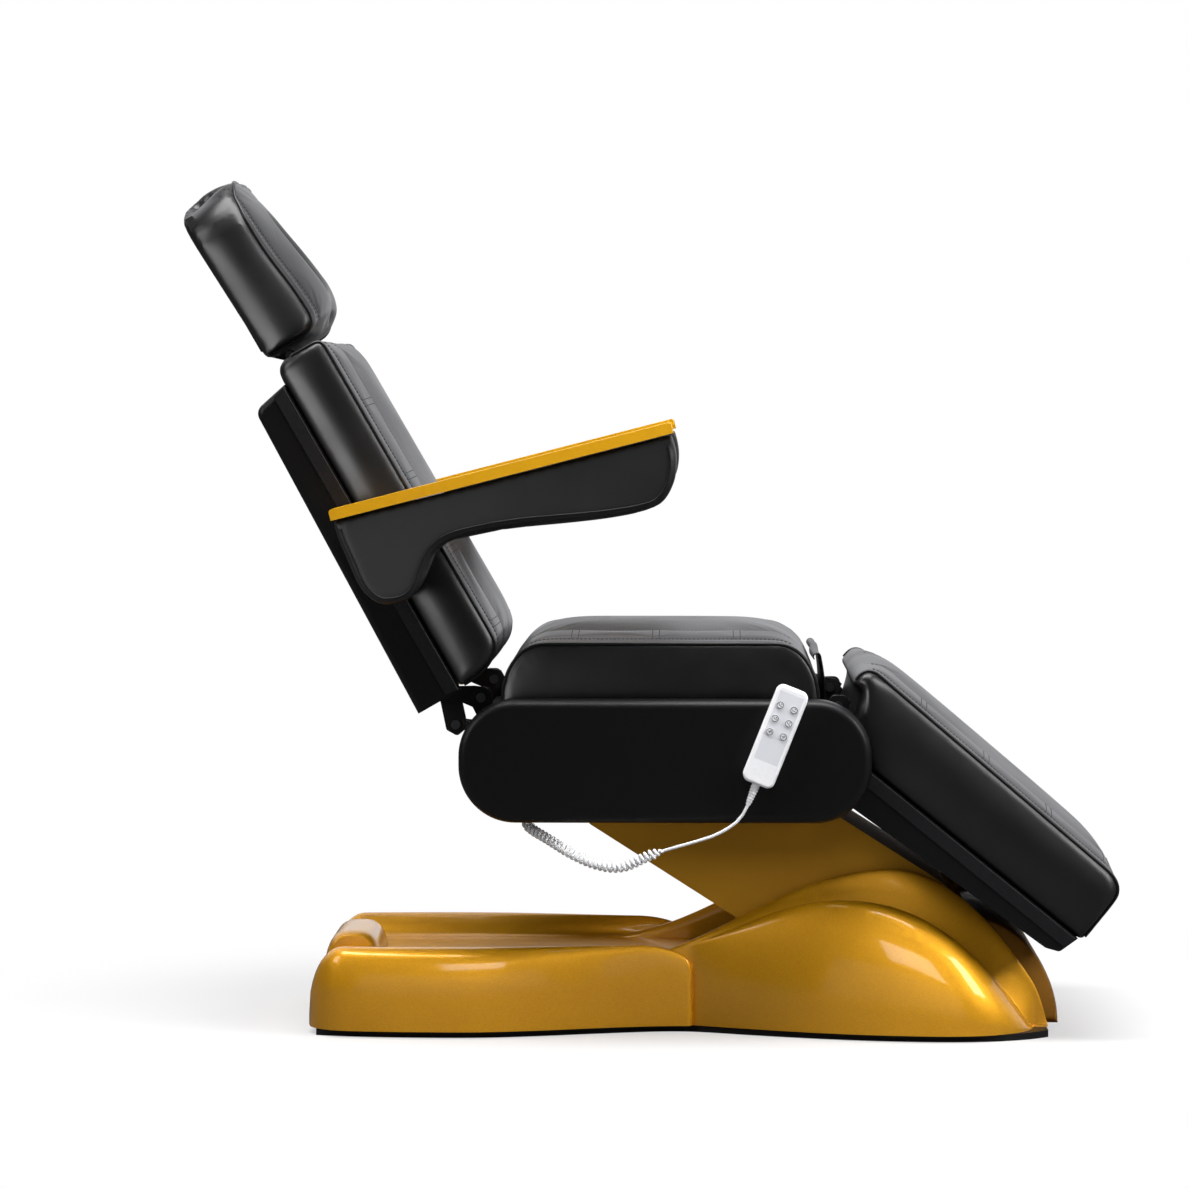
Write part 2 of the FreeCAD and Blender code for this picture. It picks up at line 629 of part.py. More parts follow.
def build_pedestal():
    """Two cheeks on the floor plate that carry the arm and the tie links, and the lift drive's fork."""
    foot = d.plate_thickness
    sole = foot + d.bracket_plate
    x = d.lower_pivot_x
    z = d.lower_pivot_z
    half = d.pedestal_length / 2
    cheek = new_body("cheek", WORLD)
    outline = [(x - half, sole), (x + half, sole), (x + d.boss_radius, z + d.boss_radius),
               (x - d.boss_radius, z + d.boss_radius)]
    blank = pad(cheek, "cheek_pad", outline, d.bracket_y, d.bracket_y + d.bracket_plate)
    round_corners(cheek, "cheek_round", blank, outline[2:], d.boss_radius * 0.8)
    bore(cheek, "cheek_bore", x, z, d.pivot_pin_radius)
    bore(cheek, "cheek_tie_bore", x, z - d.tie_drop, d.tie_pin_radius)
    outer = d.bracket_y + d.bracket_plate
    sole_plate = box("pedestal_sole", WORLD, (x - half, x + half), (-outer, outer), (foot, sole))
    keep("arm_pedestal", fuse("arm_pedestal", [cheek, mirror("cheek_twin", cheek), sole_plate]))
    base_x, base_z = LIFT_DRIVE.x, LIFT_DRIVE.z
    fork = new_body("lift_fork_cheek", WORLD)
    inner = d.eye_half_width + d.fork_gap
    fork_top = base_z + d.eye_radius
    fork_outline = [(base_x - 2 * d.eye_radius, foot), (base_x + 2 * d.eye_radius, foot),
                    (base_x + d.eye_radius, fork_top), (base_x - d.eye_radius, fork_top)]
    fork_pad = pad(fork, "lift_fork_pad", fork_outline, inner, inner + d.lug_plate)
    round_corners(fork, "lift_fork_round", fork_pad, fork_outline[2:], d.eye_radius * 0.8)
    bore(fork, "lift_fork_bore", base_x, base_z, d.drive_pin_radius)
    keep("lift_fork", pair("lift_fork", fork))
    reach = d.arm_half_width + d.hinge_gap
    pivot = pin("lower_pivot_pin", WORLD, x, z, d.pivot_pin_radius, d.bracket_y, reach)
    tie_pin = pin("lower_tie_pin", WORLD, x, z - d.tie_drop, d.tie_pin_radius, d.tie_y - d.hinge_gap, outer)
    drive = pin("lift_rear_pin", WORLD, base_x, base_z, d.drive_pin_radius, -inner - d.lug_plate,
                inner + d.lug_plate)
    keep("base_pins", group("base_pins", [pivot, mirror("lower_pivot_twin", pivot), tie_pin,
                                          mirror("lower_tie_twin", tie_pin), drive]))


def build_arm():
    """The wide sheet-metal box that swings on the pedestal, open at both ends and under its foot."""
    depth = d.arm_half_depth
    top = d.arm_top_length
    tail = d.arm_length + d.arm_tail
    upper = -d.arm_length
    arm = new_body("lift_arm", ARM)
    heel = [(depth, depth), (depth, -depth)]
    outline = [heel[0], (-top, depth), (upper, d.boss_radius), (-tail, d.boss_radius * 0.3),
               (-tail, -depth), heel[1]]
    blank = pad(arm, "arm_pad", outline, -d.arm_half_width, d.arm_half_width)
    turned = round_corners(arm, "arm_heel", blank, heel, depth * 0.98)
    round_corners(arm, "arm_corners", turned, [outline[1], outline[2], outline[4]], d.boss_radius * 0.6)
    ceiling = depth - d.arm_sheet
    beyond = 2 * depth
    sheet_start = -d.arm_length * 0.58
    inside = d.arm_half_width - d.arm_plate
    pocket(arm, "arm_hollow", [
        (beyond, ceiling), (-top + 2 * d.arm_sheet, ceiling), (-top + 2 * d.arm_sheet, beyond),
        (-tail - depth, beyond), (-tail - depth, -beyond), (upper, -beyond), (upper, -ceiling),
        (sheet_start, -ceiling), (sheet_start, -beyond), (beyond, -beyond)], -inside, inside)
    gap = d.eye_half_width + d.fork_gap
    for side, name in ((1, "far"), (-1, "near")):
        lug = [(-d.lug_reach - 2 * d.eye_radius, ceiling + d.arm_sheet / 2),
               (-d.lug_reach + 2 * d.eye_radius, ceiling + d.arm_sheet / 2),
               (-d.lug_reach + d.eye_radius, d.lug_rise - d.eye_radius),
               (-d.lug_reach - d.eye_radius, d.lug_rise - d.eye_radius)]
        spans = sorted([gap * side, (gap + d.lug_plate) * side], key=lambda value: value.value)
        pad(arm, f"arm_lug_{name}", lug, spans[0], spans[1])
    bore(arm, "arm_lower_bore", 0, 0, d.bush_radius)
    bore(arm, "arm_upper_bore", upper, 0, d.bush_radius)
    bore(arm, "arm_lug_bore", -d.lug_reach, d.lug_rise, d.drive_pin_radius)
    keep("lift_arm", arm)
    rings = []
    for name, x in (("lower", 0), ("upper", upper)):
        y_from = d.arm_half_width - d.arm_plate - d.hinge_gap
        y_to = d.arm_half_width + d.hinge_gap
        blank = pin(f"{name}_bush_blank", ARM, x, 0, d.bush_radius, y_from, y_to)
        hole = pin(f"{name}_bush_hole", ARM, x, 0, d.pivot_pin_radius + d.running_gap, y_from - 1, y_to + 1)
        ring = cut(f"{name}_bush", blank, hole)
        rings += [ring, mirror(f"{name}_bush_twin", ring)]
    keep("arm_bushes", group("arm_bushes", rings))
    reach = gap + d.lug_plate
    keep("lift_lug_pin", pin("lift_lug_pin", ARM, -d.lug_reach, d.lug_rise, d.drive_pin_radius, -reach, reach))
    build_tie_links()


def build_tie_links():
    frame = Frame(d.lower_pivot_x, d.lower_pivot_z - d.tie_drop, d.arm_slope)
    half = d.tie_height / 2
    link = new_body("tie_link", frame)
    outline = [(half, half), (half, -half), (-d.arm_length - half, -half), (-d.arm_length - half, half)]
    blank = pad(link, "tie_pad", outline, d.tie_y, d.tie_y + d.tie_thickness)
    round_corners(link, "tie_ends", blank, outline, half * 0.98)
    bore(link, "tie_lower_bore", 0, 0, d.tie_pin_radius + d.running_gap)
    bore(link, "tie_upper_bore", -d.arm_length, 0, d.tie_pin_radius + d.running_gap)
    keep("tie_links", pair("tie_links", link))


def build_drive(name, frame, rod_frame, y, tube_end, rod_length, motor_x, motor_y):
    """A linear drive: rear eye, gear housing, motor can and tube, and the rod that runs in the tube."""
    half = d.housing_half_height
    y = size(y)
    motor_x = size(motor_x)
    motor_y = size(motor_y)
    eye = pin(f"{name}_eye", frame, 0, 0, d.eye_radius, y - d.eye_half_width, y + d.eye_half_width)
    neck = box(f"{name}_neck", frame, (-d.eye_radius * 0.7, d.eye_radius * 0.7),
               (y - d.eye_half_width, y + d.eye_half_width), (0, d.housing_start + 1))
    spread_x = sorted([-half, half, motor_x - half, motor_x + half], key=lambda value: value.value)
    spread_y = sorted([y - half, y + half, y + motor_y - half, y + motor_y + half], key=lambda value: value.value)
    housing = box(f"{name}_housing", frame, (spread_x[0], spread_x[-1]), (spread_y[0], spread_y[-1]),
                  (d.housing_start, d.housing_end))
    can = bar_up(f"{name}_can", frame, motor_x, y + motor_y, d.motor_radius, d.housing_end - 1,
                 d.housing_end + d.motor_length)
    tube = bar_up(f"{name}_tube", frame, 0, y, d.tube_radius, d.housing_end - 1, tube_end)
    solid = fuse(f"{name}_solid", [eye, neck, housing, can, tube])
    hole = bar_up(f"{name}_tube_bore", frame, 0, y, d.tube_bore, d.housing_end - d.tube_radius, tube_end + 1)
    eye_hole = pin(f"{name}_eye_bore", frame, 0, 0, d.drive_pin_radius + d.running_gap,
                   y - d.eye_half_width - 1, y + d.eye_half_width + 1)
    keep(f"{name}_drive", cut(f"{name}_drive", solid, group(f"{name}_holes", [hole, eye_hole])))
    rod = bar_up(f"{name}_rod_bar", rod_frame, 0, y, d.rod_radius, -size(rod_length), -d.eye_radius * 0.6)
    rod_eye = pin(f"{name}_rod_eye", rod_frame, 0, 0, d.eye_radius, y - d.eye_half_width, y + d.eye_half_width)
    rod_hole = pin(f"{name}_rod_bore", rod_frame, 0, 0, d.drive_pin_radius + d.running_gap,
                   y - d.eye_half_width - 1, y + d.eye_half_width + 1)
    keep(f"{name}_rod", cut(f"{name}_rod", fuse(f"{name}_rod_solid", [rod, rod_eye]), rod_hole))


# Cushions: crowned lofts through sections of one line and three arcs


def cushion(stations, half_width, crown, upright):
    """A pad along s through (s, bottom, top) stations; its sides draw in and its top is crowned."""
    length = stations[-1][0] - stations[0][0]
    sections = []
    for s, bottom, top in stations:
        swell = math.sin(math.pi * min(max((s - stations[0][0]) / length, 0.0), 1.0))
        half = half_width - d.cushion_draw_in.value * swell
        rise = crown * (0.25 + 0.75 * math.sqrt(swell))
        belly = 2 + 0.02 * (top - bottom)

        def spot(y, n, s=s):
            return Vector(n, y, s) if upright else Vector(s, y, n)

        middle = (bottom + top) / 2
        edges = [
            Part.LineSegment(spot(-half + belly, bottom), spot(half - belly, bottom)),
            Part.Arc(spot(half - belly, bottom), spot(half, middle), spot(half - belly, top)),
            Part.Arc(spot(half - belly, top), spot(0, top + rise), spot(-half + belly, top)),
            Part.Arc(spot(-half + belly, top), spot(-half, middle), spot(-half + belly, bottom)),
        ]
        sections.append(Part.Wire([edge.toShape() for edge in edges]))
    return Part.makeLoft(sections, True, True)


def rounded_stations(start, end, bottom, top, reach, drop):
    """Stations whose top falls away in a quarter round at both ends."""
    shares = (0.0, 0.03, 0.12, 0.27, 0.48, 0.73, 1.0)
    near = [(start + reach * share, bottom, top - drop * (1 - quarter(share))) for share in shares]
    flat = end - start - 2 * reach
    middle = [(start + reach + flat * share, bottom, top) for share in (0.1, 0.3, 0.5, 0.7, 0.9)]
    far = [(end - reach * share, bottom, top - drop * (1 - quarter(share))) for share in reversed(shares)]
    return near + middle + far


def build_seat():
    build_seat_frame()
    base = d.frame_bottom + d.rail_tube_height
    front = d.seat_front
    rear = d.seat_front - d.seat_length
    side = d.seat_half_width - d.board_inset
    keep("seat_board", box("seat_board", SEAT, (rear + d.board_inset, front - d.board_inset), (-side, side),
                           (base, base + d.board_thickness)))
    bottom = base + d.board_thickness
    stations = rounded_stations(rear.value, front.value, bottom.value, bottom.value + d.seat_thickness.value,
                                d.seat_end_round.value, d.seat_end_drop.value)
    keep("seat_cushion", feature("seat_cushion", cushion(stations, d.seat_half_width.value,
                                                         d.seat_crown.value, False), SEAT))
    front = d.panel_front
    rear = d.panel_front - d.panel_length
    top = d.panel_bottom + d.panel_height
    outline = [(rear, d.panel_bottom), (front, d.panel_bottom), (front, top), (rear, top)]
    outer = d.panel_inner_y + d.panel_thickness
    for name, y_from, y_to, face in (("side_panel_left", -outer, -d.panel_inner_y, -outer),
                                     ("side_panel_right", d.panel_inner_y, outer, outer)):
        body = new_body(name, SEAT)
        blank = pad(body, name + "_pad", outline, y_from, y_to)
        turned = round_corners(body, name + "_corners", blank, outline, d.panel_corner)
        round_face(body, name + "_edge", turned, face, d.panel_edge)
        keep(name, body)
    keep("gap_flap", box("gap_flap", SEAT, (d.frame_front, d.frame_front + d.flap_thickness),
                         (-d.flap_half_width, d.flap_half_width), (d.frame_bottom + d.cross_height / 2, d.flap_top)))
    build_seat_pins()


def build_seat_frame():
    """Two rails and cross tubes, with hangers for the arm, hinge ears and forks for the drives."""
    bottom = d.frame_bottom
    top = bottom + d.rail_tube_height
    front = d.frame_front
    rear = d.frame_front - d.frame_length
    outer = d.rail_outer_y
    rail = box("seat_rail", SEAT, (rear, front), (outer - d.rail_tube_width, outer), (bottom, top))
    pieces = [rail, mirror("seat_rail_twin", rail)]
    back_x = BACK_DRIVE.x - SEAT.x
    leg_x = LEG_DRIVE.x - SEAT.x
    cross_bottom = top - d.cross_height
    hanger = 1.1 * d.boss_radius
    half = d.cross_width / 2
    for name, x in (("rear", rear + half), ("leg_drive", leg_x), ("hanger_rear", -hanger - half),
                    ("hanger_front", hanger + half), ("back_drive", back_x), ("front", front - half)):
        pieces.append(box(f"cross_{name}", SEAT, (x - half, x + half), (-outer, outer), (cross_bottom, top)))
    plate_half = hanger + d.cross_width
    hanger_outline = [(-plate_half, top), (-plate_half, cross_bottom), (-d.boss_radius * 0.8, -d.tie_drop - 20),
                      (d.boss_radius * 0.8, -d.tie_drop - 20), (plate_half, cross_bottom), (plate_half, top)]
    hang = new_body("seat_hanger", SEAT)
    blank = pad(hang, "seat_hanger_pad", hanger_outline, d.bracket_y, d.bracket_y + d.bracket_plate)
    round_corners(hang, "seat_hanger_round", blank, hanger_outline[2:4], d.boss_radius * 0.6)
    bore(hang, "seat_hanger_bore", 0, 0, d.pivot_pin_radius)
    bore(hang, "seat_hanger_tie", 0, -d.tie_drop, d.tie_pin_radius)
    pieces += [hang, mirror("seat_hanger_twin", hang)]
    ear_y = d.hinge_y + d.hinge_plate + d.hinge_gap
    for name, x, z, near_x, far_x in (("back", d.back_hinge_x, d.back_hinge_z, rear, rear + d.cross_width * 0.7),
                                      ("leg", d.leg_hinge_x, d.leg_hinge_z, front - d.cross_width, front)):
        eye = d.hinge_eye
        ear = new_body(f"{name}_ear", SEAT)
        if name == "back":
            outline = [(near_x, cross_bottom), (far_x, cross_bottom), (x + eye, z), (x + eye * 0.5, z + eye),
                       (x - eye, z + eye), (x - eye, z - eye * 0.4)]
        else:
            outline = [(near_x, cross_bottom), (far_x, cross_bottom), (x + eye, z - eye * 0.4), (x + eye, z + eye),
                       (x - eye * 0.6, z + eye), (far_x, top), (near_x, top)]
        ear_pad = pad(ear, f"{name}_ear_pad", outline, ear_y, ear_y + d.hinge_plate)
        round_corners(ear, f"{name}_ear_round", ear_pad, [outline[3], outline[4]], eye * 0.6)
        bore(ear, f"{name}_ear_bore", x, z, d.hinge_pin_radius)
        pieces += [ear, mirror(f"{name}_ear_twin", ear)]
    for name, drive, y in (("back", BACK_DRIVE, d.drive_y), ("leg", LEG_DRIVE, -d.drive_y)):
        x = drive.x - SEAT.x
        z = drive.z - SEAT.z
        for side, label in ((1, "far"), (-1, "near")):
            inner = d.eye_half_width + d.fork_gap
            spans = sorted([y + inner * side, y + (inner + d.lug_plate) * side], key=lambda value: value.value)
            cheek = new_body(f"{name}_fork_{label}", SEAT)
            outline = [(x - half, cross_bottom), (x - half, z), (x - d.eye_radius, z - d.eye_radius),
                       (x + d.eye_radius, z - d.eye_radius), (x + half, z), (x + half, cross_bottom)]
            pad(cheek, f"{name}_fork_{label}_pad", outline, spans[0], spans[1])
            bore(cheek, f"{name}_fork_{label}_bore", x, z, d.drive_pin_radius)
            pieces.append(cheek)
    for name, x in (("rear", rear + d.frame_length * 0.2), ("front", front - d.frame_length * 0.25)):
        stud = pin(f"panel_stud_{name}", SEAT, x, (bottom + top) / 2, d.rail_tube_height * 0.4, outer, d.panel_inner_y)
        pieces += [stud, mirror(f"panel_stud_{name}_twin", stud)]
    keep("seat_frame", fuse("seat_frame", pieces))


def build_seat_pins():
    pins = []
    outer = d.bracket_y + d.bracket_plate
    upper = pin("upper_pivot_pin", SEAT, 0, 0, d.pivot_pin_radius, d.bracket_y, d.arm_half_width + d.hinge_gap)
    tie_pin = pin("upper_tie_pin", SEAT, 0, -d.tie_drop, d.tie_pin_radius, d.tie_y - d.hinge_gap, outer)
    start = d.hinge_y - d.hinge_gap
    end = d.hinge_y + 2 * d.hinge_plate + 2 * d.hinge_gap
    back_pin = pin("back_hinge_pin", BACK, 0, 0, d.hinge_pin_radius, start, end)
    leg_pin = pin("leg_hinge_pin", LEG, 0, 0, d.hinge_pin_radius, start, end)
    for thing in (upper, tie_pin, back_pin, leg_pin):
        pins += [thing, mirror(thing.Name + "_twin", thing)]
    reach = d.eye_half_width + d.fork_gap + d.lug_plate
    pins.append(pin("back_rear_pin", BACK_DRIVE, 0, 0, d.drive_pin_radius, d.drive_y - reach, d.drive_y + reach))
    pins.append(pin("leg_rear_pin", LEG_DRIVE, 0, 0, d.drive_pin_radius, -d.drive_y - reach, -d.drive_y + reach))
    keep("seat_pins", group("seat_pins", pins))


def build_back():
    build_back_frame()
    board_rear = d.back_rear - d.board_thickness
    side = d.rail_outer_y - 5
    keep("back_board", box("back_board", BACK, (board_rear, d.back_rear), (-side, side),
                           (d.back_start + d.board_inset, BACK_COVER_END - d.cover_wall - d.hinge_gap)))
    stations = rounded_stations(d.back_start.value, d.back_end.value, d.back_rear.value,
                                d.back_rear.value + d.back_thickness.value,
                                d.back_end_round.value, d.back_end_drop.value)
    foam = feature("back_foam", cushion(stations, d.back_half_width.value, d.back_crown.value, True), BACK)
    roof = d.head_hinge_n + d.sleeve_radius + d.post_channel_gap
    reach = d.sleeve_radius + d.post_channel_gap
    channels = [box(f"post_channel_{name}", BACK, (d.back_rear - 1, roof), (side_y - reach, side_y + reach),
                    (BACK_FRAME_END - d.sleeve_length - d.post_channel_gap, d.back_end + 1))
                for name, side_y in (("far", d.post_y), ("near", -d.post_y))]
    keep("back_cushion", cut("back_cushion", foam, group("post_channels", channels)))
    build_back_cover()
    pieces = []
    for side_y in (d.post_y, -d.post_y):
        name = "far" if side_y.value > 0 else "near"
        tube = bar_up(f"sleeve_{name}_tube", BACK, d.head_hinge_n, side_y, d.sleeve_radius,
                      BACK_FRAME_END - d.sleeve_length, BACK_FRAME_END)
        foot = box(f"sleeve_{name}_foot", BACK, (d.back_rear, d.head_hinge_n),
                   (side_y - d.sleeve_radius, side_y + d.sleeve_radius),
                   (BACK_FRAME_END - d.sleeve_length, BACK_FRAME_END))
        blank = fuse(f"sleeve_{name}_blank", [tube, foot])
        hole = bar_up(f"sleeve_{name}_hole", BACK, d.head_hinge_n, side_y, d.post_radius + d.running_gap,
                      BACK_FRAME_END - d.sleeve_length - 1, BACK_FRAME_END + 1)
        pieces.append(cut(f"sleeve_{name}", blank, hole))
    keep("post_sleeves", group("post_sleeves", pieces))
    end = d.armrest_inner_y + d.hub_length - d.hinge_gap
    bolt = pin("armrest_bolt", BACK, d.armrest_n, d.armrest_along, d.bolt_radius, d.bolt_start_y, end)
    keep("armrest_bolts", pair("armrest_bolts", bolt))
    reach = d.eye_half_width + d.fork_gap + d.lug_plate
    keep("back_lever_pin", pin("back_lever_pin", BACK, d.lever_n, d.lever_along, d.drive_pin_radius,
                               d.drive_y - reach - d.hinge_gap, d.drive_y + reach + d.hinge_gap))


def build_back_frame():
    """A tube frame with hinge ears, the drive's lever and plates that carry the armrest bolts."""
    front = d.back_rear - d.board_thickness
    rear = front - d.back_tube
    low = d.back_frame_start
    high = BACK_FRAME_END
    tube = d.back_tube
    outer = d.back_upright_y
    upright = box("back_upright", BACK, (rear, front), (outer - d.rail_tube_width, outer), (low, high))
    pieces = [upright, mirror("back_upright_twin", upright)]
    middle = d.armrest_along
    for name, along, reach in (("low", low, outer), ("high", high - tube, outer),
                               ("middle", middle - tube / 2, d.bolt_start_y)):
        pieces.append(box(f"back_cross_{name}", BACK, (rear, front), (-reach, reach), (along, along + tube)))
    plate_front = d.back_rear - 1
    bolt_plate = new_body("bolt_plate", BACK)
    half = tube
    outline = [(rear, middle - half), (plate_front, middle - half), (plate_front, middle + half), (rear, middle + half)]
    pad(bolt_plate, "bolt_plate_pad", outline, d.bolt_start_y, d.bolt_start_y + d.bolt_plate)
    bore(bolt_plate, "bolt_plate_bore", d.armrest_n, middle, d.bolt_radius)
    pieces += [bolt_plate, mirror("bolt_plate_twin", bolt_plate)]
    eye = d.hinge_eye
    ear = new_body("back_swing_ear", BACK)
    ear_outline = [(rear, low + tube), (rear, low), (-eye, -eye * 0.6), (-eye * 0.4, -eye), (eye, -eye),
                   (eye, eye * 0.4), (0, low * 0.42), (front, low * 0.75), (front, low + tube)]
    ear_pad = pad(ear, "back_swing_ear_pad", ear_outline, d.hinge_y, d.hinge_y + d.hinge_plate)
    round_corners(ear, "back_swing_ear_round", ear_pad, [ear_outline[4]], eye * 0.8)
    bore(ear, "back_swing_ear_bore", 0, 0, d.hinge_pin_radius + d.running_gap)
    pieces += [ear, mirror("back_swing_ear_twin", ear)]
    inner = d.eye_half_width + d.fork_gap
    half = d.lever_width / 2
    for side, label in ((1, "far"), (-1, "near")):
        spans = sorted([d.drive_y + inner * side, d.drive_y + (inner + d.lug_plate) * side],
                       key=lambda value: value.value)
        lever = new_body(f"back_lever_{label}", BACK)
        outline = [(d.lever_n - half, d.lever_along), (d.lever_n - half * 0.4, d.lever_along - half),
                   (d.lever_n + half * 0.7, d.lever_along - half * 0.8), (front - eye / 2, low), (front, low + tube),
                   (rear, low + tube)]
        lever_pad = pad(lever, f"back_lever_{label}_pad", outline, spans[0], spans[1])
        round_corners(lever, f"back_lever_{label}_round", lever_pad, outline[:3], half * 0.4)
        bore(lever, f"back_lever_{label}_bore", d.lever_n, d.lever_along, d.drive_pin_radius)
        pieces.append(lever)
    keep("back_frame", fuse("back_frame", pieces))


def build_back_cover():
    """A moulded shell behind the back, deeper at the bottom, open in front and at its foot."""
    wall = d.cover_wall
    rim = d.back_rear - 0.5
    low = d.back_cover_start
    high = BACK_COVER_END
    deep = rim - d.back_cover_bottom_depth
    shallow = rim - d.back_cover_top_depth
    half = d.back_cover_half_width
    cover = new_body("back_cover_shell", BACK)
    outline = [(rim, low), (rim, high), (shallow, high - d.back_cover_slant), (deep, low)]
    blank = pad(cover, "back_cover_pad", outline, -half, half)
    turned = round_corners(cover, "back_cover_round", blank, [outline[2]], 4 * wall)
    for number, y in enumerate((-half, half)):
        doc.recompute()
        edges = []
        for index, edge in enumerate(turned.Shape.Edges, start=1):
            flat = abs(edge.BoundBox.YMin - y.value) < 1e-3 and abs(edge.BoundBox.YMax - y.value) < 1e-3
            if flat and edge.BoundBox.XMax < rim.value - 1 and edge.BoundBox.ZMax > low.value + 1:
                edges.append(f"Edge{index}")
        fillet = cover.newObject("PartDesign::Fillet", f"back_cover_edge_{number}")
        fillet.Base = (turned, edges)
        bind(fillet, "Radius", 2.5 * wall)
        turned = fillet
    pocket(cover, "back_cover_hollow", [
        (rim + wall, low - wall), (rim + wall, high - wall), (rim, high - wall),
        (shallow + wall, high - d.back_cover_slant - wall), (deep + wall, low - wall)], -half + wall, half - wall)
    holes = []
    bolt = pin("cover_bolt_hole", BACK, d.armrest_n, d.armrest_along, d.bolt_radius + 2, -half - 1, half + 1)
    holes.append(bolt)
    for side_y in (d.post_y, -d.post_y):
        name = "far" if side_y.value > 0 else "near"
        holes.append(bar_up(f"cover_post_hole_{name}", BACK, d.head_hinge_n, side_y, d.post_radius + 2,
                            high - 4 * d.back_cover_slant, high + 1))
    keep("back_cover", cut("back_cover", cover, group("back_cover_holes", holes)))


def build_head():
    """Two posts with a hinge bar, and the head cushion on its board."""
    pieces = []
    for side_y in (d.post_y, -d.post_y):
        name = "far" if side_y.value > 0 else "near"
        pieces.append(bar_up(f"post_{name}", BACK, d.head_hinge_n, side_y, d.post_radius, POST_START,
                             HEAD_HINGE))
    pieces.append(pin("head_bar", BACK, d.head_hinge_n, HEAD_HINGE, d.head_bar_radius,
                      -d.head_bar_half_width, d.head_bar_half_width))
    keep("head_posts", fuse("head_posts", pieces))
    rear = d.head_rear
    front = rear + d.board_thickness
    side = d.head_half_width - d.board_inset
    board = box("head_board_panel", BACK, (rear, front), (-side, side),
                (HEAD_START + d.board_inset, HEAD_END - d.board_inset))
    eye = d.head_bar_radius + d.head_lug_edge
    lug = new_body("head_lug", BACK)
    outline = [(rear, HEAD_HINGE + 6 * eye), (rear, HEAD_HINGE + 1.6 * eye),
               (d.head_hinge_n - 0.3 * eye, HEAD_HINGE - eye), (d.head_hinge_n + eye, HEAD_HINGE - eye),
               (d.head_hinge_n + eye, HEAD_HINGE + eye), (front - 1, HEAD_HINGE + eye), (front - 1, HEAD_HINGE + 6 * eye)]
    lug_y = d.post_y + d.post_radius + d.hinge_gap
    blank = pad(lug, "head_lug_pad", outline, lug_y, lug_y + d.hinge_plate)
    round_corners(lug, "head_lug_round", blank, outline[3:5], eye * 0.8)
    bore(lug, "head_lug_bore", d.head_hinge_n, HEAD_HINGE, d.head_bar_radius + d.running_gap)
    keep("head_board", fuse("head_board", [board, lug, mirror("head_lug_twin", lug)]))
    stations = rounded_stations(HEAD_START.value, HEAD_END.value, d.head_rear.value,
                                d.head_rear.value + d.head_thickness.value,
                                d.head_end_round.value, d.head_end_drop.value)
    pad_shape = cushion(stations, d.head_half_width.value, d.head_crown.value, True)
    depth = d.hollow_depth.value
    half = d.hollow_width.value / 2
    ball = (half ** 2 + depth ** 2) / (2 * depth)
    run = d.hollow_length.value - d.hollow_width.value
    crest = d.head_rear.value + d.head_thickness.value + d.head_crown.value
    centre = Vector(crest + ball - depth, 0, (HEAD_START.value + HEAD_END.value - run) / 2)
    hollow = Part.makeCylinder(ball, run, centre)
    hollow = hollow.fuse([Part.makeSphere(ball, centre), Part.makeSphere(ball, centre + Vector(0, 0, run))])
    foam = feature("head_foam", pad_shape.cut(hollow), BACK)
    room = d.running_gap
    recess = box("head_recess", BACK, (rear - 1, front + room), (-side - room, side + room),
                 (HEAD_START + d.board_inset - room, HEAD_END - d.board_inset + room))
    slots = pair("head_lug_slots", box("head_lug_slot", BACK, (rear - 1, front + room),
                                       (lug_y - room, lug_y + d.hinge_plate + room),
                                       (HEAD_START - 1, HEAD_START + d.board_inset + 1)))
    keep("head_cushion", cut("head_cushion", foam, fuse("head_openings", [recess, slots])))


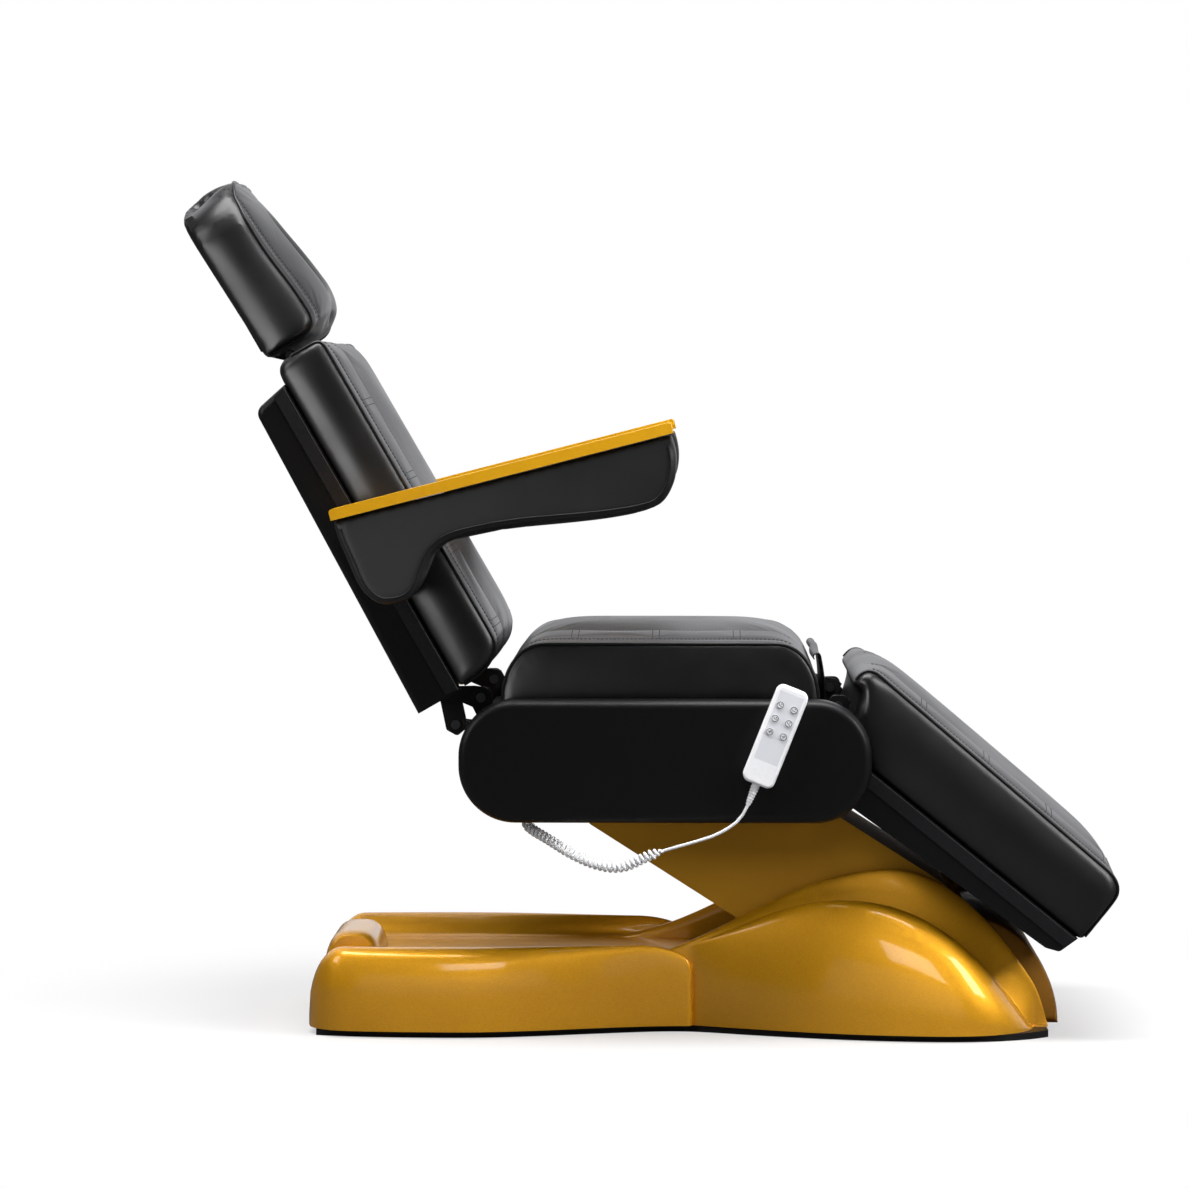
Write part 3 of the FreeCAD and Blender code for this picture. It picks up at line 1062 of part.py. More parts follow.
def build_armrests():
    """An upholstered pad with a pivot lobe at its rear, and a flat painted top plate."""
    top = d.armrest_top
    back = d.armrest_back
    front = d.armrest_front
    lobe = d.lobe_radius
    outline = [(back, top), (d.lobe_x - lobe, 0), (d.lobe_x - lobe * 0.5, -lobe), (d.lobe_x + lobe * 0.5, -lobe),
               (d.lobe_x + 1.1 * lobe, -0.16 * lobe), (d.lobe_x + 2 * lobe, 0.35 * lobe),
               (front - 1.2 * d.armrest_width, d.nose_bottom), (front - 0.55 * d.armrest_width, d.nose_bottom),
               (front - 0.08 * d.armrest_width, top - 0.8 * d.armrest_width), (front, top - 0.3 * d.armrest_width),
               (front, top)]
    inner = d.armrest_inner_y
    outer = inner + d.armrest_width
    bore_end = inner + d.hub_length + d.hinge_gap
    for name, sign in (("left", -1), ("right", 1)):
        spans = sorted([inner * sign, outer * sign], key=lambda value: value.value)
        body = new_body(f"armrest_{name}_blank", ARMREST)
        blank = pad(body, f"armrest_{name}_pad_shape", outline, spans[0], spans[1])
        turned = round_corners(body, f"armrest_{name}_lobe", blank, outline[2:4], lobe * 0.55)
        turned = round_corners(body, f"armrest_{name}_bends", turned, [outline[5], outline[7], outline[8]], lobe * 0.45)
        hole_spans = sorted([inner * sign, bore_end * sign], key=lambda value: value.value)
        hole = pin(f"armrest_{name}_hole", ARMREST, 0, 0, d.hub_radius, hole_spans[0], hole_spans[1])
        keep(f"armrest_pad_{name}", cut(f"armrest_pad_{name}", body, hole))
        lip = d.armrest_plate_overhang
        plate_spans = sorted([(inner - lip) * sign, (outer + lip) * sign], key=lambda value: value.value)
        cap = new_body(f"armrest_top_{name}", ARMREST)
        cap_outline = [(back - lip, top), (front + lip, top), (front + lip, top + d.armrest_plate),
                       (back - lip, top + d.armrest_plate)]
        cap_pad = pad(cap, f"armrest_top_{name}_pad", cap_outline, plate_spans[0], plate_spans[1])
        round_corners(cap, f"armrest_top_{name}_edge", cap_pad, cap_outline[2:], d.armrest_plate * 0.3)
        keep(f"armrest_top_{name}", cap)
        hub_spans = sorted([inner * sign, (inner + d.hub_length) * sign], key=lambda value: value.value)
        hub_blank = pin(f"armrest_{name}_hub_blank", ARMREST, 0, 0, d.hub_radius, hub_spans[0], hub_spans[1])
        hub_hole = pin(f"armrest_{name}_hub_hole", ARMREST, 0, 0, d.bolt_radius + d.running_gap,
                       hub_spans[0] - 1, hub_spans[1] + 1)
        keep(f"armrest_hub_{name}", cut(f"armrest_hub_{name}", hub_blank, hub_hole))


def build_leg():
    """The leg rest: tube frame with hinge ears and lever, board, cushion and moulded cover."""
    top = d.leg_bottom - d.board_thickness
    bottom = top - d.leg_tube
    start = d.leg_frame_start
    end = LEG_FRAME_END
    outer = d.back_upright_y
    tube = d.back_tube
    rail = box("leg_rail", LEG, (start, end), (outer - d.rail_tube_width, outer), (bottom, top))
    pieces = [rail, mirror("leg_rail_twin", rail)]
    for name, along in (("inner", start), ("outer", end - tube)):
        pieces.append(box(f"leg_cross_{name}", LEG, (along, along + tube), (-outer, outer), (bottom, top)))
    eye = d.hinge_eye
    ear = new_body("leg_swing_ear", LEG)
    ear_outline = [(-eye, eye * 0.5), (-eye * 0.8, -eye), (start - tube * 0.4, bottom), (start + 2 * tube, bottom),
                   (start + 2 * tube, top), (start - eye * 0.6, top), (eye, -eye * 0.2), (eye * 0.7, eye), (0, eye)]
    ear_pad = pad(ear, "leg_swing_ear_pad", ear_outline, d.hinge_y, d.hinge_y + d.hinge_plate)
    round_corners(ear, "leg_swing_ear_round", ear_pad, [ear_outline[0], ear_outline[1]], eye * 0.3)
    bore(ear, "leg_swing_ear_bore", 0, 0, d.hinge_pin_radius + d.running_gap)
    pieces += [ear, mirror("leg_swing_ear_twin", ear)]
    inner = d.eye_half_width + d.fork_gap
    x = d.leg_lever_along
    z = d.leg_lever_n
    radius = d.eye_radius
    for side, label in ((1, "far"), (-1, "near")):
        spans = sorted([-d.drive_y + inner * side, -d.drive_y + (inner + d.lug_plate) * side],
                       key=lambda value: value.value)
        lever = new_body(f"leg_lever_{label}", LEG)
        outline = [(x - radius, z + radius * 0.6), (x - radius, z - radius * 0.6), (x, z - radius),
                   (start + tube, bottom), (start + tube, top - 1), (x, z + radius * 0.9)]
        pad(lever, f"leg_lever_{label}_pad", outline, spans[0], spans[1])
        bore(lever, f"leg_lever_{label}_bore", x, z, d.drive_pin_radius)
        pieces.append(lever)
    keep("leg_frame", fuse("leg_frame", pieces))
    reach = inner + d.lug_plate
    keep("leg_lever_pin", pin("leg_lever_pin", LEG, x, z, d.drive_pin_radius, -d.drive_y - reach, -d.drive_y + reach))
    side = d.rail_outer_y - 5
    keep("leg_board", box("leg_board", LEG, (start, LEG_COVER_END - 2 * d.board_inset), (-side, side),
                          (top, d.leg_bottom)))
    build_leg_cushion()
    build_leg_cover()


def build_leg_cushion():
    """The inner end rises to a nose over the hinge; the pad thins towards the foot."""
    nose = d.leg_nose_length.value
    low = d.leg_bottom.value
    start = d.leg_start.value
    end = d.leg_end.value
    lift = d.leg_nose_bottom.value - low
    reach = d.leg_end_round.value
    drop = d.leg_end_drop.value
    flat = end - reach - start - nose
    stations = []
    for share in (0.0, 0.2, 0.4, 0.55, 0.7, 0.85, 1.0):
        rise = lift * (1 - ease((share - 0.25) / 0.75))
        stations.append((start + nose * share, low + rise, d.leg_top.value - drop * (1 - quarter(share))))
    for share in (0.03, 0.1, 0.25, 0.5, 0.75):
        stations.append((start + nose + flat * share, low, d.leg_top.value - d.leg_taper.value * share))
    for share in (1.0, 0.73, 0.48, 0.27, 0.12, 0.03, 0.0):
        top = d.leg_top.value - d.leg_taper.value
        stations.append((end - reach * share, low, top - drop * (1 - quarter(share))))
    keep("leg_cushion", feature("leg_cushion", cushion(stations, d.leg_half_width.value,
                                                       d.leg_crown.value, False), LEG))


def build_leg_cover():
    """A moulded tray under the leg rest, deeper at the hinge end and open there."""
    wall = d.cover_wall
    rim = d.leg_bottom - 0.5
    start = d.leg_cover_start
    end = LEG_COVER_END
    deep = rim - d.leg_cover_deep
    shallow = rim - d.leg_cover_shallow
    chamfer = 0.7 * d.leg_cover_shallow
    half = d.leg_cover_half_width
    cover = new_body("leg_cover", LEG)
    outline = [(start, rim), (end, rim), (end - chamfer * 0.3, shallow + chamfer * 0.3), (end - chamfer, shallow),
               (start, deep)]
    blank = pad(cover, "leg_cover_pad", outline, -half, half)
    round_corners(cover, "leg_cover_round", blank, [outline[2], outline[3]], 2 * wall)
    pocket(cover, "leg_cover_hollow", [
        (start - wall, rim + wall), (end - wall, rim + wall), (end - wall, rim),
        (end - chamfer * 0.3 - wall * 1.2, shallow + chamfer * 0.3), (end - chamfer - wall * 0.5, shallow + wall),
        (start - wall, deep + wall)], -half + wall, half - wall)
    keep("leg_cover", cover)


def build_handset():
    """Two half shells, a keypad with six buttons, a hook over the hanger and a strain relief."""
    length = d.handset_length / 2
    half = d.handset_width / 2
    rear = -d.handset_back_y
    split = rear - d.handset_thickness / 2
    front = rear - d.handset_thickness
    outline = [(-half, -length), (half, -length), (half, length), (-half, length)]
    shell = new_body("handset_back_shell", HANDSET)
    blank = pad(shell, "handset_back_pad", outline, split, rear)
    round_corners(shell, "handset_back_round", blank, outline, d.handset_corner)
    gap = d.handset_back_y - d.panel_inner_y - d.panel_thickness
    hook_half = d.hook_width / 2
    hook_top = length * 0.82
    hook_y = rear + gap - d.hanger_plate * 0.3
    bridge = box("hook_bridge", HANDSET, (-hook_half, hook_half), (rear - 1, hook_y),
                 (hook_top - d.hook_thickness, hook_top))
    tongue = box("hook_tongue", HANDSET, (-hook_half, hook_half), (hook_y - d.hook_thickness, hook_y),
                 (hook_top - d.hook_drop, hook_top))
    keep("handset_back", fuse("handset_back", [shell, bridge, tongue]))
    face = new_body("handset_front_shell", HANDSET)
    face_pad = pad(face, "handset_front_pad", outline, front, split)
    turned = round_corners(face, "handset_front_round", face_pad, outline, d.handset_corner)
    rounded = round_face(face, "handset_front_edge", turned, front, d.handset_thickness * 0.18)
    keypad_half = d.keypad_width / 2
    low = d.keypad_rise - d.keypad_length / 2
    high = d.keypad_rise + d.keypad_length / 2
    keypad_outline = [(-keypad_half, low), (keypad_half, low), (keypad_half, high), (-keypad_half, high)]
    doc.recompute()
    pocket(face, "keypad_seat", keypad_outline, front - 1, front + d.keypad_thickness)
    pad_body = new_body("keypad_blank", HANDSET)
    pad(pad_body, "keypad_pad", keypad_outline, front, front + d.keypad_thickness)
    face_wells = []
    keypad_wells = []
    number = 0
    for row in range(3):
        for column in (-1, 1):
            number += 1
            x = column * d.button_columns / 2
            z = d.button_top - row * d.button_rows
            deep = front + d.keypad_thickness + d.button_height
            face_wells.append(pin(f"well_{number}", HANDSET, x, z, d.button_radius + d.button_gap, front - 1, deep))
            keypad_wells.append(pin(f"hole_{number}", HANDSET, x, z, d.button_radius + d.button_gap,
                                    front - 1, front + d.keypad_thickness + 1))
            base = deep - d.button_height * 0.6
            keep(f"button_{number}", pin(f"button_{number}", HANDSET, x, z, d.button_radius,
                                         front - d.button_height * 0.5, base))
    keep("handset_front", cut("handset_front", face, group("button_wells", face_wells)))
    keep("keypad", cut("keypad", pad_body, group("keypad_holes", keypad_wells)))
    relief = doc.addObject("Part::Cone", "strain_relief")
    bind(relief, "Radius1", d.cord_radius + 1)
    bind(relief, "Radius2", d.relief_radius)
    bind(relief, "Height", d.relief_length)
    middle = (front + rear) / 2
    keep("strain_relief", place(relief, HANDSET, 0, middle, -length - d.relief_length))
    panel_face = -(d.panel_inner_y + d.panel_thickness)
    lip_y = panel_face - (gap - d.hanger_plate - 1)
    hanger_half = d.hanger_width / 2
    top_x, top_z = HANDSET.point(0, hook_top - d.hook_thickness)
    rest_z = top_z - SEAT.z - hook_half * sine(d.handset_lean) - d.running_gap
    middle_x = top_x - SEAT.x
    stand = box("hanger_stand", SEAT, (middle_x - hanger_half, middle_x + hanger_half),
                (lip_y, panel_face), (rest_z - d.hanger_height, rest_z - d.hook_drop * 1.6))
    lip = box("hanger_lip", SEAT, (middle_x - hanger_half, middle_x + hanger_half),
              (lip_y - d.hanger_plate, lip_y), (rest_z - d.hanger_height, rest_z))
    keep("handset_hanger", fuse("handset_hanger", [stand, lip]))


# Handset cord: a straight lead, then curls that pass under the side panel, then a lead up to a gland


def cord_edges(points):
    """Straight runs joined by the largest tangent arcs that the runs allow, with the arc radii."""
    edges = []
    last = points[0]
    radii = []
    for before, corner, after in zip(points, points[1:], points[2:]):
        arrive = corner - before
        leave = after - corner
        turn = arrive.getAngle(leave)
        trim = 0.45 * min(arrive.Length, leave.Length)
        radii.append(trim / math.tan(turn / 2))
        arrive.normalize()
        leave.normalize()
        start = corner - arrive * trim
        end = corner + leave * trim
        inward = leave - arrive
        inward.normalize()
        bow = radii[-1] * (1 / math.cos(turn / 2) - 1)
        edges.append(Part.LineSegment(last, start).toShape())
        edges.append(Part.Arc(start, corner + inward * bow, end).toShape())
        last = end
    edges.append(Part.LineSegment(last, points[-1]).toShape())
    return edges, radii


def ring(centre, axis, radius, sides):
    """A regular outline of the cord's section area, square to an axis."""
    side = axis.cross(Vector(0, 0, 1))
    side.normalize()
    other = axis.cross(side)
    other.normalize()
    reach = radius * math.sqrt(2 * math.pi / (sides * math.sin(2 * math.pi / sides)))
    corners = []
    for number in range(sides + 1):
        angle = 2 * math.pi * number / sides
        corners.append(centre + side * (reach * math.cos(angle)) + other * (reach * math.sin(angle)))
    return Part.makePolygon(corners)


def arc_from(start, heading, end):
    """The arc that leaves start along a heading and reaches end, or a line where it is straight."""
    chord = end - start
    across = chord - heading * chord.dot(heading)
    if across.Length < 1e-6:
        return Part.LineSegment(start, end).toShape()
    half = heading.getAngle(chord)
    across.normalize()
    normal = across * math.cos(half) - heading * math.sin(half)
    middle = start + chord * 0.5 - normal * (chord.Length / 2 * math.tan(half / 2))
    return Part.Arc(start, middle, end).toShape()


def biarc(start, heading, end, arrival):
    """Two arcs that join two points with given headings."""
    chord = end - start
    total = heading + arrival
    bend = 2 * (1 - heading.dot(arrival))
    reach = chord.dot(total)
    if bend < 1e-9:
        return [arc_from(start, heading, end)]
    arm = (math.sqrt(reach ** 2 + bend * chord.dot(chord)) - reach) / bend
    joint = (start + end + (heading - arrival) * arm) * 0.5
    turn_back = arc_from(end, arrival * -1, joint)
    middle = turn_back.valueAt((turn_back.FirstParameter + turn_back.LastParameter) / 2)
    return [arc_from(start, heading, joint), Part.Arc(joint, middle, end).toShape()]


def route_samples(edges, pace):
    """Points, headings and untwisted side directions at an even pace along a route."""
    places = []
    for edge in edges:
        count = max(2, int(edge.Length / pace))
        for number in range(count):
            parameter = edge.getParameterByLength(edge.Length * number / count)
            places.append((edge.valueAt(parameter), edge.tangentAt(parameter)))
    final = edges[-1]
    places.append((final.valueAt(final.LastParameter), final.tangentAt(final.LastParameter)))
    side = places[0][1].cross(Vector(0, 1, 0))
    samples = []
    length = 0.0
    last = places[0][0]
    for point, heading in places:
        side = side - heading * side.dot(heading)
        side.normalize()
        length += (point - last).Length
        last = point
        samples.append((length, point, heading, side))
    return samples


def coil_points(samples, start, end, turns, radius):
    """Fine points of a coil round a route, with its radius and pace eased in and out, and its turn angle."""
    ramp = 16.0
    weights = []
    for length, point, heading, side in samples:
        inside = min(max((length - start) / ramp, 0.0), max((end - length) / ramp, 0.0), 1.0)
        inside = inside * inside * (3 - 2 * inside)
        weights.append(inside)
    paces = [0.28 + 0.72 * weight if start < item[0] < end else 0.0 for weight, item in zip(weights, samples)]
    total = sum(0.5 * (a + b) * (q[0] - p[0]) for a, b, p, q in zip(paces, paces[1:], samples, samples[1:]))
    scale = 2 * math.pi * turns / total
    angle = 0.0
    points = []
    for number, (length, point, heading, side) in enumerate(samples):
        if number:
            angle += scale * 0.5 * (paces[number] + paces[number - 1]) * (length - samples[number - 1][0])
        other = heading.cross(side)
        offset = side * math.cos(angle) + other * math.sin(angle)
        points.append((angle, length, point + offset * (radius * weights[number])))
    return points


def coil_wire(points, start, end):
    """Half-turn pairs of arcs through a coil, and shorter pairs along the leads."""
    picks = [0]
    step = math.pi
    for number, (angle, length, point) in enumerate(points):
        before_angle, before_length, before_point = points[picks[-1]]
        inside = start < length < end
        calm = length < start + 16 or length > end - 16
        enough = angle - before_angle >= (step / 2 if calm else step) if inside else length - before_length >= 9
        if enough:
            picks.append(number)
    if len(points) - 1 - picks[-1] < 6:
        picks.pop()
    picks.append(len(points) - 1)
    spots = []
    for number in picks:
        low = max(number - 1, 0)
        high = min(number + 1, len(points) - 1)
        heading = points[high][2] - points[low][2]
        heading.normalize()
        spots.append((points[number][2], heading))
    edges = []
    for (first, heading), (second, arrival) in zip(spots, spots[1:]):
        edges += biarc(first, heading, second, arrival)
    return edges


def least_gap(edges, reach, clear_of):
    """The least space between turns of one cord, measured on points along it."""
    points = []
    length = 0.0
    for edge in edges:
        for number in range(6):
            parameter = edge.getParameterByLength(edge.Length * number / 6)
            points.append((length + edge.Length * number / 6, edge.valueAt(parameter)))
        length += edge.Length
    least = 1e9
    for number, (place, point) in enumerate(points):
        for other_place, other in points[number + 1:]:
            if clear_of < other_place - place < 6 * clear_of:
                least = min(least, (other - point).Length)
    return least - 2 * reach


def build_cord():
    start_x, start_z = HANDSET.point(0, -d.handset_length / 2 - d.relief_length)
    down_x, down_z = HANDSET.point(0, -d.handset_length / 2 - 1.75 * d.relief_length)
    level = -(d.handset_back_y.value + d.handset_thickness.value / 2)
    radius = d.cord_radius.value
    curl_start = Vector(-21, -347, 287)
    lead = [Vector(start_x.value, level, start_z.value), Vector(down_x.value, level, down_z.value),
            Vector(50, -352, 308), Vector(10, -350, 296), curl_start]
    edges, radii = cord_edges(lead)
    print("straight cord arc radii", [round(value, 1) for value in radii])
    wire = Part.Wire(edges)
    tube = wire.makePipeShell([ring(lead[0], lead[1] - lead[0], radius, 8)], True, False)
    print("straight cord volume share", round(tube.Volume / (math.pi * radius ** 2 * wire.Length), 3))
    keep("straight_cord", feature("straight_cord", tube, WORLD))
    gland_x, gland_z = SEAT.point(d.gland_x, d.frame_bottom - d.gland_length)
    top = Vector(gland_x.value, -d.gland_y.value, gland_z.value)
    run = lead[-1] - lead[-2]
    run.normalize()
    route = [curl_start, curl_start + run * 26, Vector(-84, -342, 259), Vector(-122, -336, 263),
             Vector(-160, -326, 279), Vector(-194, -308, 299), Vector(-222, -284, 312),
             Vector(-240, -264, 334), top - Vector(0, 0, 38), top]
    route_edges, radii = cord_edges(route)
    print("curl route arc radii", [round(value, 1) for value in radii])
    samples = route_samples(route_edges, 0.2)
    start = 2 * radius
    end = samples[-1][0] - 90
    points = coil_points(samples, start, end, d.curl_count.value, d.curl_radius.value)
    curl_edges = coil_wire(points, start, end)
    sides = 6
    gap = least_gap(curl_edges, radius * math.sqrt(2 * math.pi / (sides * math.sin(2 * math.pi / sides))),
                    3 * d.curl_radius.value)
    print("curl edges", len(curl_edges), "least gap", round(gap, 2))
    wire = Part.Wire(curl_edges)
    coil = wire.makePipeShell([ring(curl_edges[0].valueAt(curl_edges[0].FirstParameter),
                                    curl_edges[0].tangentAt(curl_edges[0].FirstParameter), radius, sides)], True, False)
    print("curly cord volume share", round(coil.Volume / (math.pi * radius ** 2 * wire.Length), 3))
    keep("curly_cord", feature("curly_cord", coil, WORLD))
    gland_base = d.frame_bottom - d.gland_length
    keep("cord_gland", bar_up("cord_gland", SEAT, d.gland_x, -d.gland_y, d.gland_radius, gland_base, d.frame_bottom))


build_base()
build_arm()
build_drive("lift", LIFT_DRIVE, LIFT_ROD, 0, d.lift_tube_end, d.lift_drive_length - d.lift_rod_start, 0, d.motor_offset)
build_seat()
build_drive("back", BACK_DRIVE, BACK_ROD, d.drive_y, d.back_tube_end, d.back_drive_length - d.back_rod_start, -d.motor_offset, 0)
build_drive("leg", LEG_DRIVE, LEG_ROD, -d.drive_y, d.leg_tube_end, d.leg_drive_length - d.leg_rod_start, 0, d.motor_offset)
build_back()
build_head()
build_armrests()
build_leg()
build_handset()
build_cord()
doc.recompute()

faults = [item.Name for item in doc.Objects if "Invalid" in item.State or "Error" in item.State]
for name, thing in parts.items():
    if thing.Shape.isNull() or not thing.Shape.isValid() or not thing.Shape.Solids:
        faults.append(name)
if faults:
    raise RuntimeError(f"these objects failed: {faults}")
os.makedirs("parts", exist_ok=True)
for name, thing in parts.items():
    thing.Shape.exportStep(f"parts/{name}.step")
print(len(parts), "parts written")
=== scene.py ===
import json
import math
from dataclasses import dataclass
from itertools import product

import bmesh
import bpy
import numpy as np
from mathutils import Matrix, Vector
from mathutils.bvhtree import BVHTree


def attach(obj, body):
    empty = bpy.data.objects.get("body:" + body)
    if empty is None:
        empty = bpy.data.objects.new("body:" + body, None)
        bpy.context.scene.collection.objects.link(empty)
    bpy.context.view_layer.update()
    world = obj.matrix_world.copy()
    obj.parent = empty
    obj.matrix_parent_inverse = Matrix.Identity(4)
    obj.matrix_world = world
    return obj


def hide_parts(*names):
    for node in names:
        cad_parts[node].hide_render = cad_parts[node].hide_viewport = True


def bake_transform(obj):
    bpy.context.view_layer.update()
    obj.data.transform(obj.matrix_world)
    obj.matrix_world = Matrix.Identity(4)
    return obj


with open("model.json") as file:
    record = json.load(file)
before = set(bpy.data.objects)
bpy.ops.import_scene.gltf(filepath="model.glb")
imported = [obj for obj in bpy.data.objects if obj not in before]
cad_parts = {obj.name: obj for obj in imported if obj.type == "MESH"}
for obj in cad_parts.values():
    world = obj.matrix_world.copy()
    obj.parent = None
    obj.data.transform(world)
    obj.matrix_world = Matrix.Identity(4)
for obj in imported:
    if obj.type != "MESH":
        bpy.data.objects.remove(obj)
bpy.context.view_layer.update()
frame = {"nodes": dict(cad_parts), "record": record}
scene = bpy.context.scene
nodes = frame["nodes"]
MM = 0.001


# ---------- making pieces
def linked(name, data):
    """A new piece of the scene that shows a mesh, a curve, a lamp or a camera."""
    piece = bpy.data.objects.new(name, data)
    scene.collection.objects.link(piece)
    return piece


def paint(piece, look):
    piece.data.materials.clear()
    piece.data.materials.append(look)


def baked(piece):
    """The piece's mesh as its modifiers leave it now."""
    return bpy.data.meshes.new_from_object(piece.evaluated_get(bpy.context.evaluated_depsgraph_get()))


def drawn(name, kind, lines):
    """A new curve of the scene, with splines of one kind on lines of points."""
    data = bpy.data.curves.new(name, "CURVE")
    data.dimensions = "3D"
    for line in lines:
        spline = data.splines.new(kind)
        spline.points.add(len(line) - 1)
        spline.points.foreach_set("co", np.insert(line, 3, 1, 1).ravel())
    return linked(name, data)


def traced(line):
    """The mesh that a drawn curve gives; the curve itself goes."""
    mesh, curve = baked(line), line.data
    bpy.data.objects.remove(line)
    bpy.data.curves.remove(curve)
    return mesh


def mesh_points(mesh):
    points = np.empty(len(mesh.vertices) * 3)
    mesh.vertices.foreach_get("co", points)
    return points.reshape(-1, 3)


def set_points(mesh, points):
    mesh.vertices.foreach_set("co", np.ascontiguousarray(points).ravel())
    mesh.update()


def grid_faces(rows, count, wraps):
    """Quads between neighbouring rows of points; rows that wrap are rings."""
    faces = []
    for row, number in product(range(rows - 1), range(count if wraps else count - 1)):
        here, after, step = row * count, (row + 1) * count, (number + 1) % count
        faces.append((here + number, here + step, after + step, after + number))
    return faces


def skinned(shell, rings):
    """Skins a row of like rings of points, in metres, into a closed body."""
    rows = [[shell.verts.new(point) for point in ring] for ring in rings]
    for row, after in zip(rows, rows[1:]):
        for number in range(len(row)):
            step = (number + 1) % len(row)
            shell.faces.new((row[number], row[step], after[step], after[number]))
    for row in (rows[0], rows[-1]):
        shell.faces.new(row)


def shell_mesh(name, shell):
    """The mesh of a shell with its faces turned outward; the shell itself goes."""
    bmesh.ops.recalc_face_normals(shell, faces=shell.faces)
    mesh = bpy.data.meshes.new(name)
    shell.to_mesh(mesh)
    shell.free()
    return mesh


# ---------- places on the object
class Place:
    """A local frame in the chair's upright plane: u along, w out of the padded face, v across the chair."""

    def __init__(self, x, z, along, out=None):
        out = out or (-along[1], along[0])
        self.origin = np.array([x, 0, z]) * MM
        self.along = np.array([along[0], 0, along[1]])
        self.out = np.array([out[0], 0, out[1]])

    def world(self, points):
        """Local millimetres u, v, w as metres in the chair's frame."""
        points = np.asarray(points, float) * MM
        across = np.array([0, 1, 0])
        return (self.origin + points[..., 0:1] * self.along + points[..., 1:2] * across
                + points[..., 2:3] * self.out)

    def local(self, points):
        offset = np.asarray(points, float) - self.origin
        return np.stack([offset @ self.along, offset[..., 1], offset @ self.out], -1) / MM


def turned(degrees):
    angle = math.radians(degrees)
    return math.cos(angle), math.sin(angle)


BACK_LEAN, LEG_DROP, ARMREST_RISE, HANDSET_LEAN = 30, 39, 14.4, 21.7
SEAT = Place(0, 0, (1, 0))
BACK = Place(-294.0, 497.17, (-turned(BACK_LEAN)[1], turned(BACK_LEAN)[0]), turned(BACK_LEAN))
LEG = Place(228.0, 485.17, turned(-LEG_DROP))
ARMREST = Place(-435.74, 686.69, turned(ARMREST_RISE))
HANDSET = Place(134.5, 451.2, turned(-HANDSET_LEAN))


# ---------- camera and lamps
CAMERA_LENS, CAMERA_DIP, CAMERA_TURN, CAMERA_SPOT = 138.7, 2.614, 1.326, (0.026, -6.9, 0.954)


def make_camera():
    data = bpy.data.cameras.new("camera")
    data.lens = CAMERA_LENS
    data.sensor_width = 36
    data.clip_end = 60
    camera = linked("camera", data)
    camera.location = CAMERA_SPOT
    camera.rotation_euler = (math.radians(90 - CAMERA_DIP), 0, math.radians(CAMERA_TURN))
    scene.camera = camera


def make_lamp(name, place, aim, width, depth, power):
    data = bpy.data.lights.new(name, "AREA")
    data.shape = "RECTANGLE"
    data.size, data.size_y, data.energy = width, depth, power
    lamp = linked(name, data)
    lamp.location = place
    lamp.rotation_euler = (Vector(aim) - Vector(place)).to_track_quat("-Z", "Y").to_euler()


scene.view_settings.view_transform = "Standard"
make_camera()
make_lamp("overhead_softbox", (-0.1, -0.7, 3.1), (0, 0, 0.4), 3.2, 1.4, 120)
make_lamp("left_softbox", (-2.9, -1.8, 1.9), (-0.4, 0, 0.9), 1.2, 1.4, 22)
make_lamp("floor_bounce", (-2.0, -2.4, 0.05), (-0.5, 0, 0.9), 2.0, 1.6, 70)
make_lamp("right_softbox", (2.7, -1.6, 2.0), (0.2, 0, 0.4), 1.0, 1.4, 42)
make_lamp("front_fill", (0.4, -5.5, 2.6), (0, 0, 0.3), 2.4, 1.2, 45)
make_lamp("floor_front", (0, -2.9, 0.03), (0, -0.8, 1.5), 3.2, 2.2, 10)


# ---------- looks
class Value:
    """A node's socket that adds, multiplies and is taken away like a number."""

    def __init__(self, maker, socket):
        self.maker = maker
        self.socket = socket

    def join(self, operation, first, second):
        return self.maker.node("ShaderNodeMath", {0: first, 1: second}, operation=operation)

    def __add__(self, other):
        return self.join("ADD", self, other)

    def __mul__(self, other):
        return self.join("MULTIPLY", self, other)

    def __rsub__(self, other):
        return self.join("SUBTRACT", other, self)

    __radd__ = __add__
    __rmul__ = __mul__


class NodeMaker:
    """Adds nodes to a tree: the kind, what feeds its sockets, the output to use, and its settings."""

    def __init__(self, tree):
        self.tree = tree

    def node(self, kind, sockets=None, output=0, **settings):
        made = self.tree.nodes.new(kind)
        for key, value in settings.items():
            setattr(made, key, value)
        for key, value in (sockets or {}).items():
            self.feed(made.inputs[key], value)
        return Value(self, made.outputs[output])

    def feed(self, socket, value):
        if isinstance(value, Value):
            self.tree.links.new(value.socket, socket)
        else:
            socket.default_value = value

    def ramp(self, value, low, high, to_low=0.0, to_high=1.0, kind="SMOOTHSTEP"):
        return self.node("ShaderNodeMapRange", {"Value": value, "From Min": low, "From Max": high, "To Min": to_low,
                                                "To Max": to_high}, interpolation_type=kind)


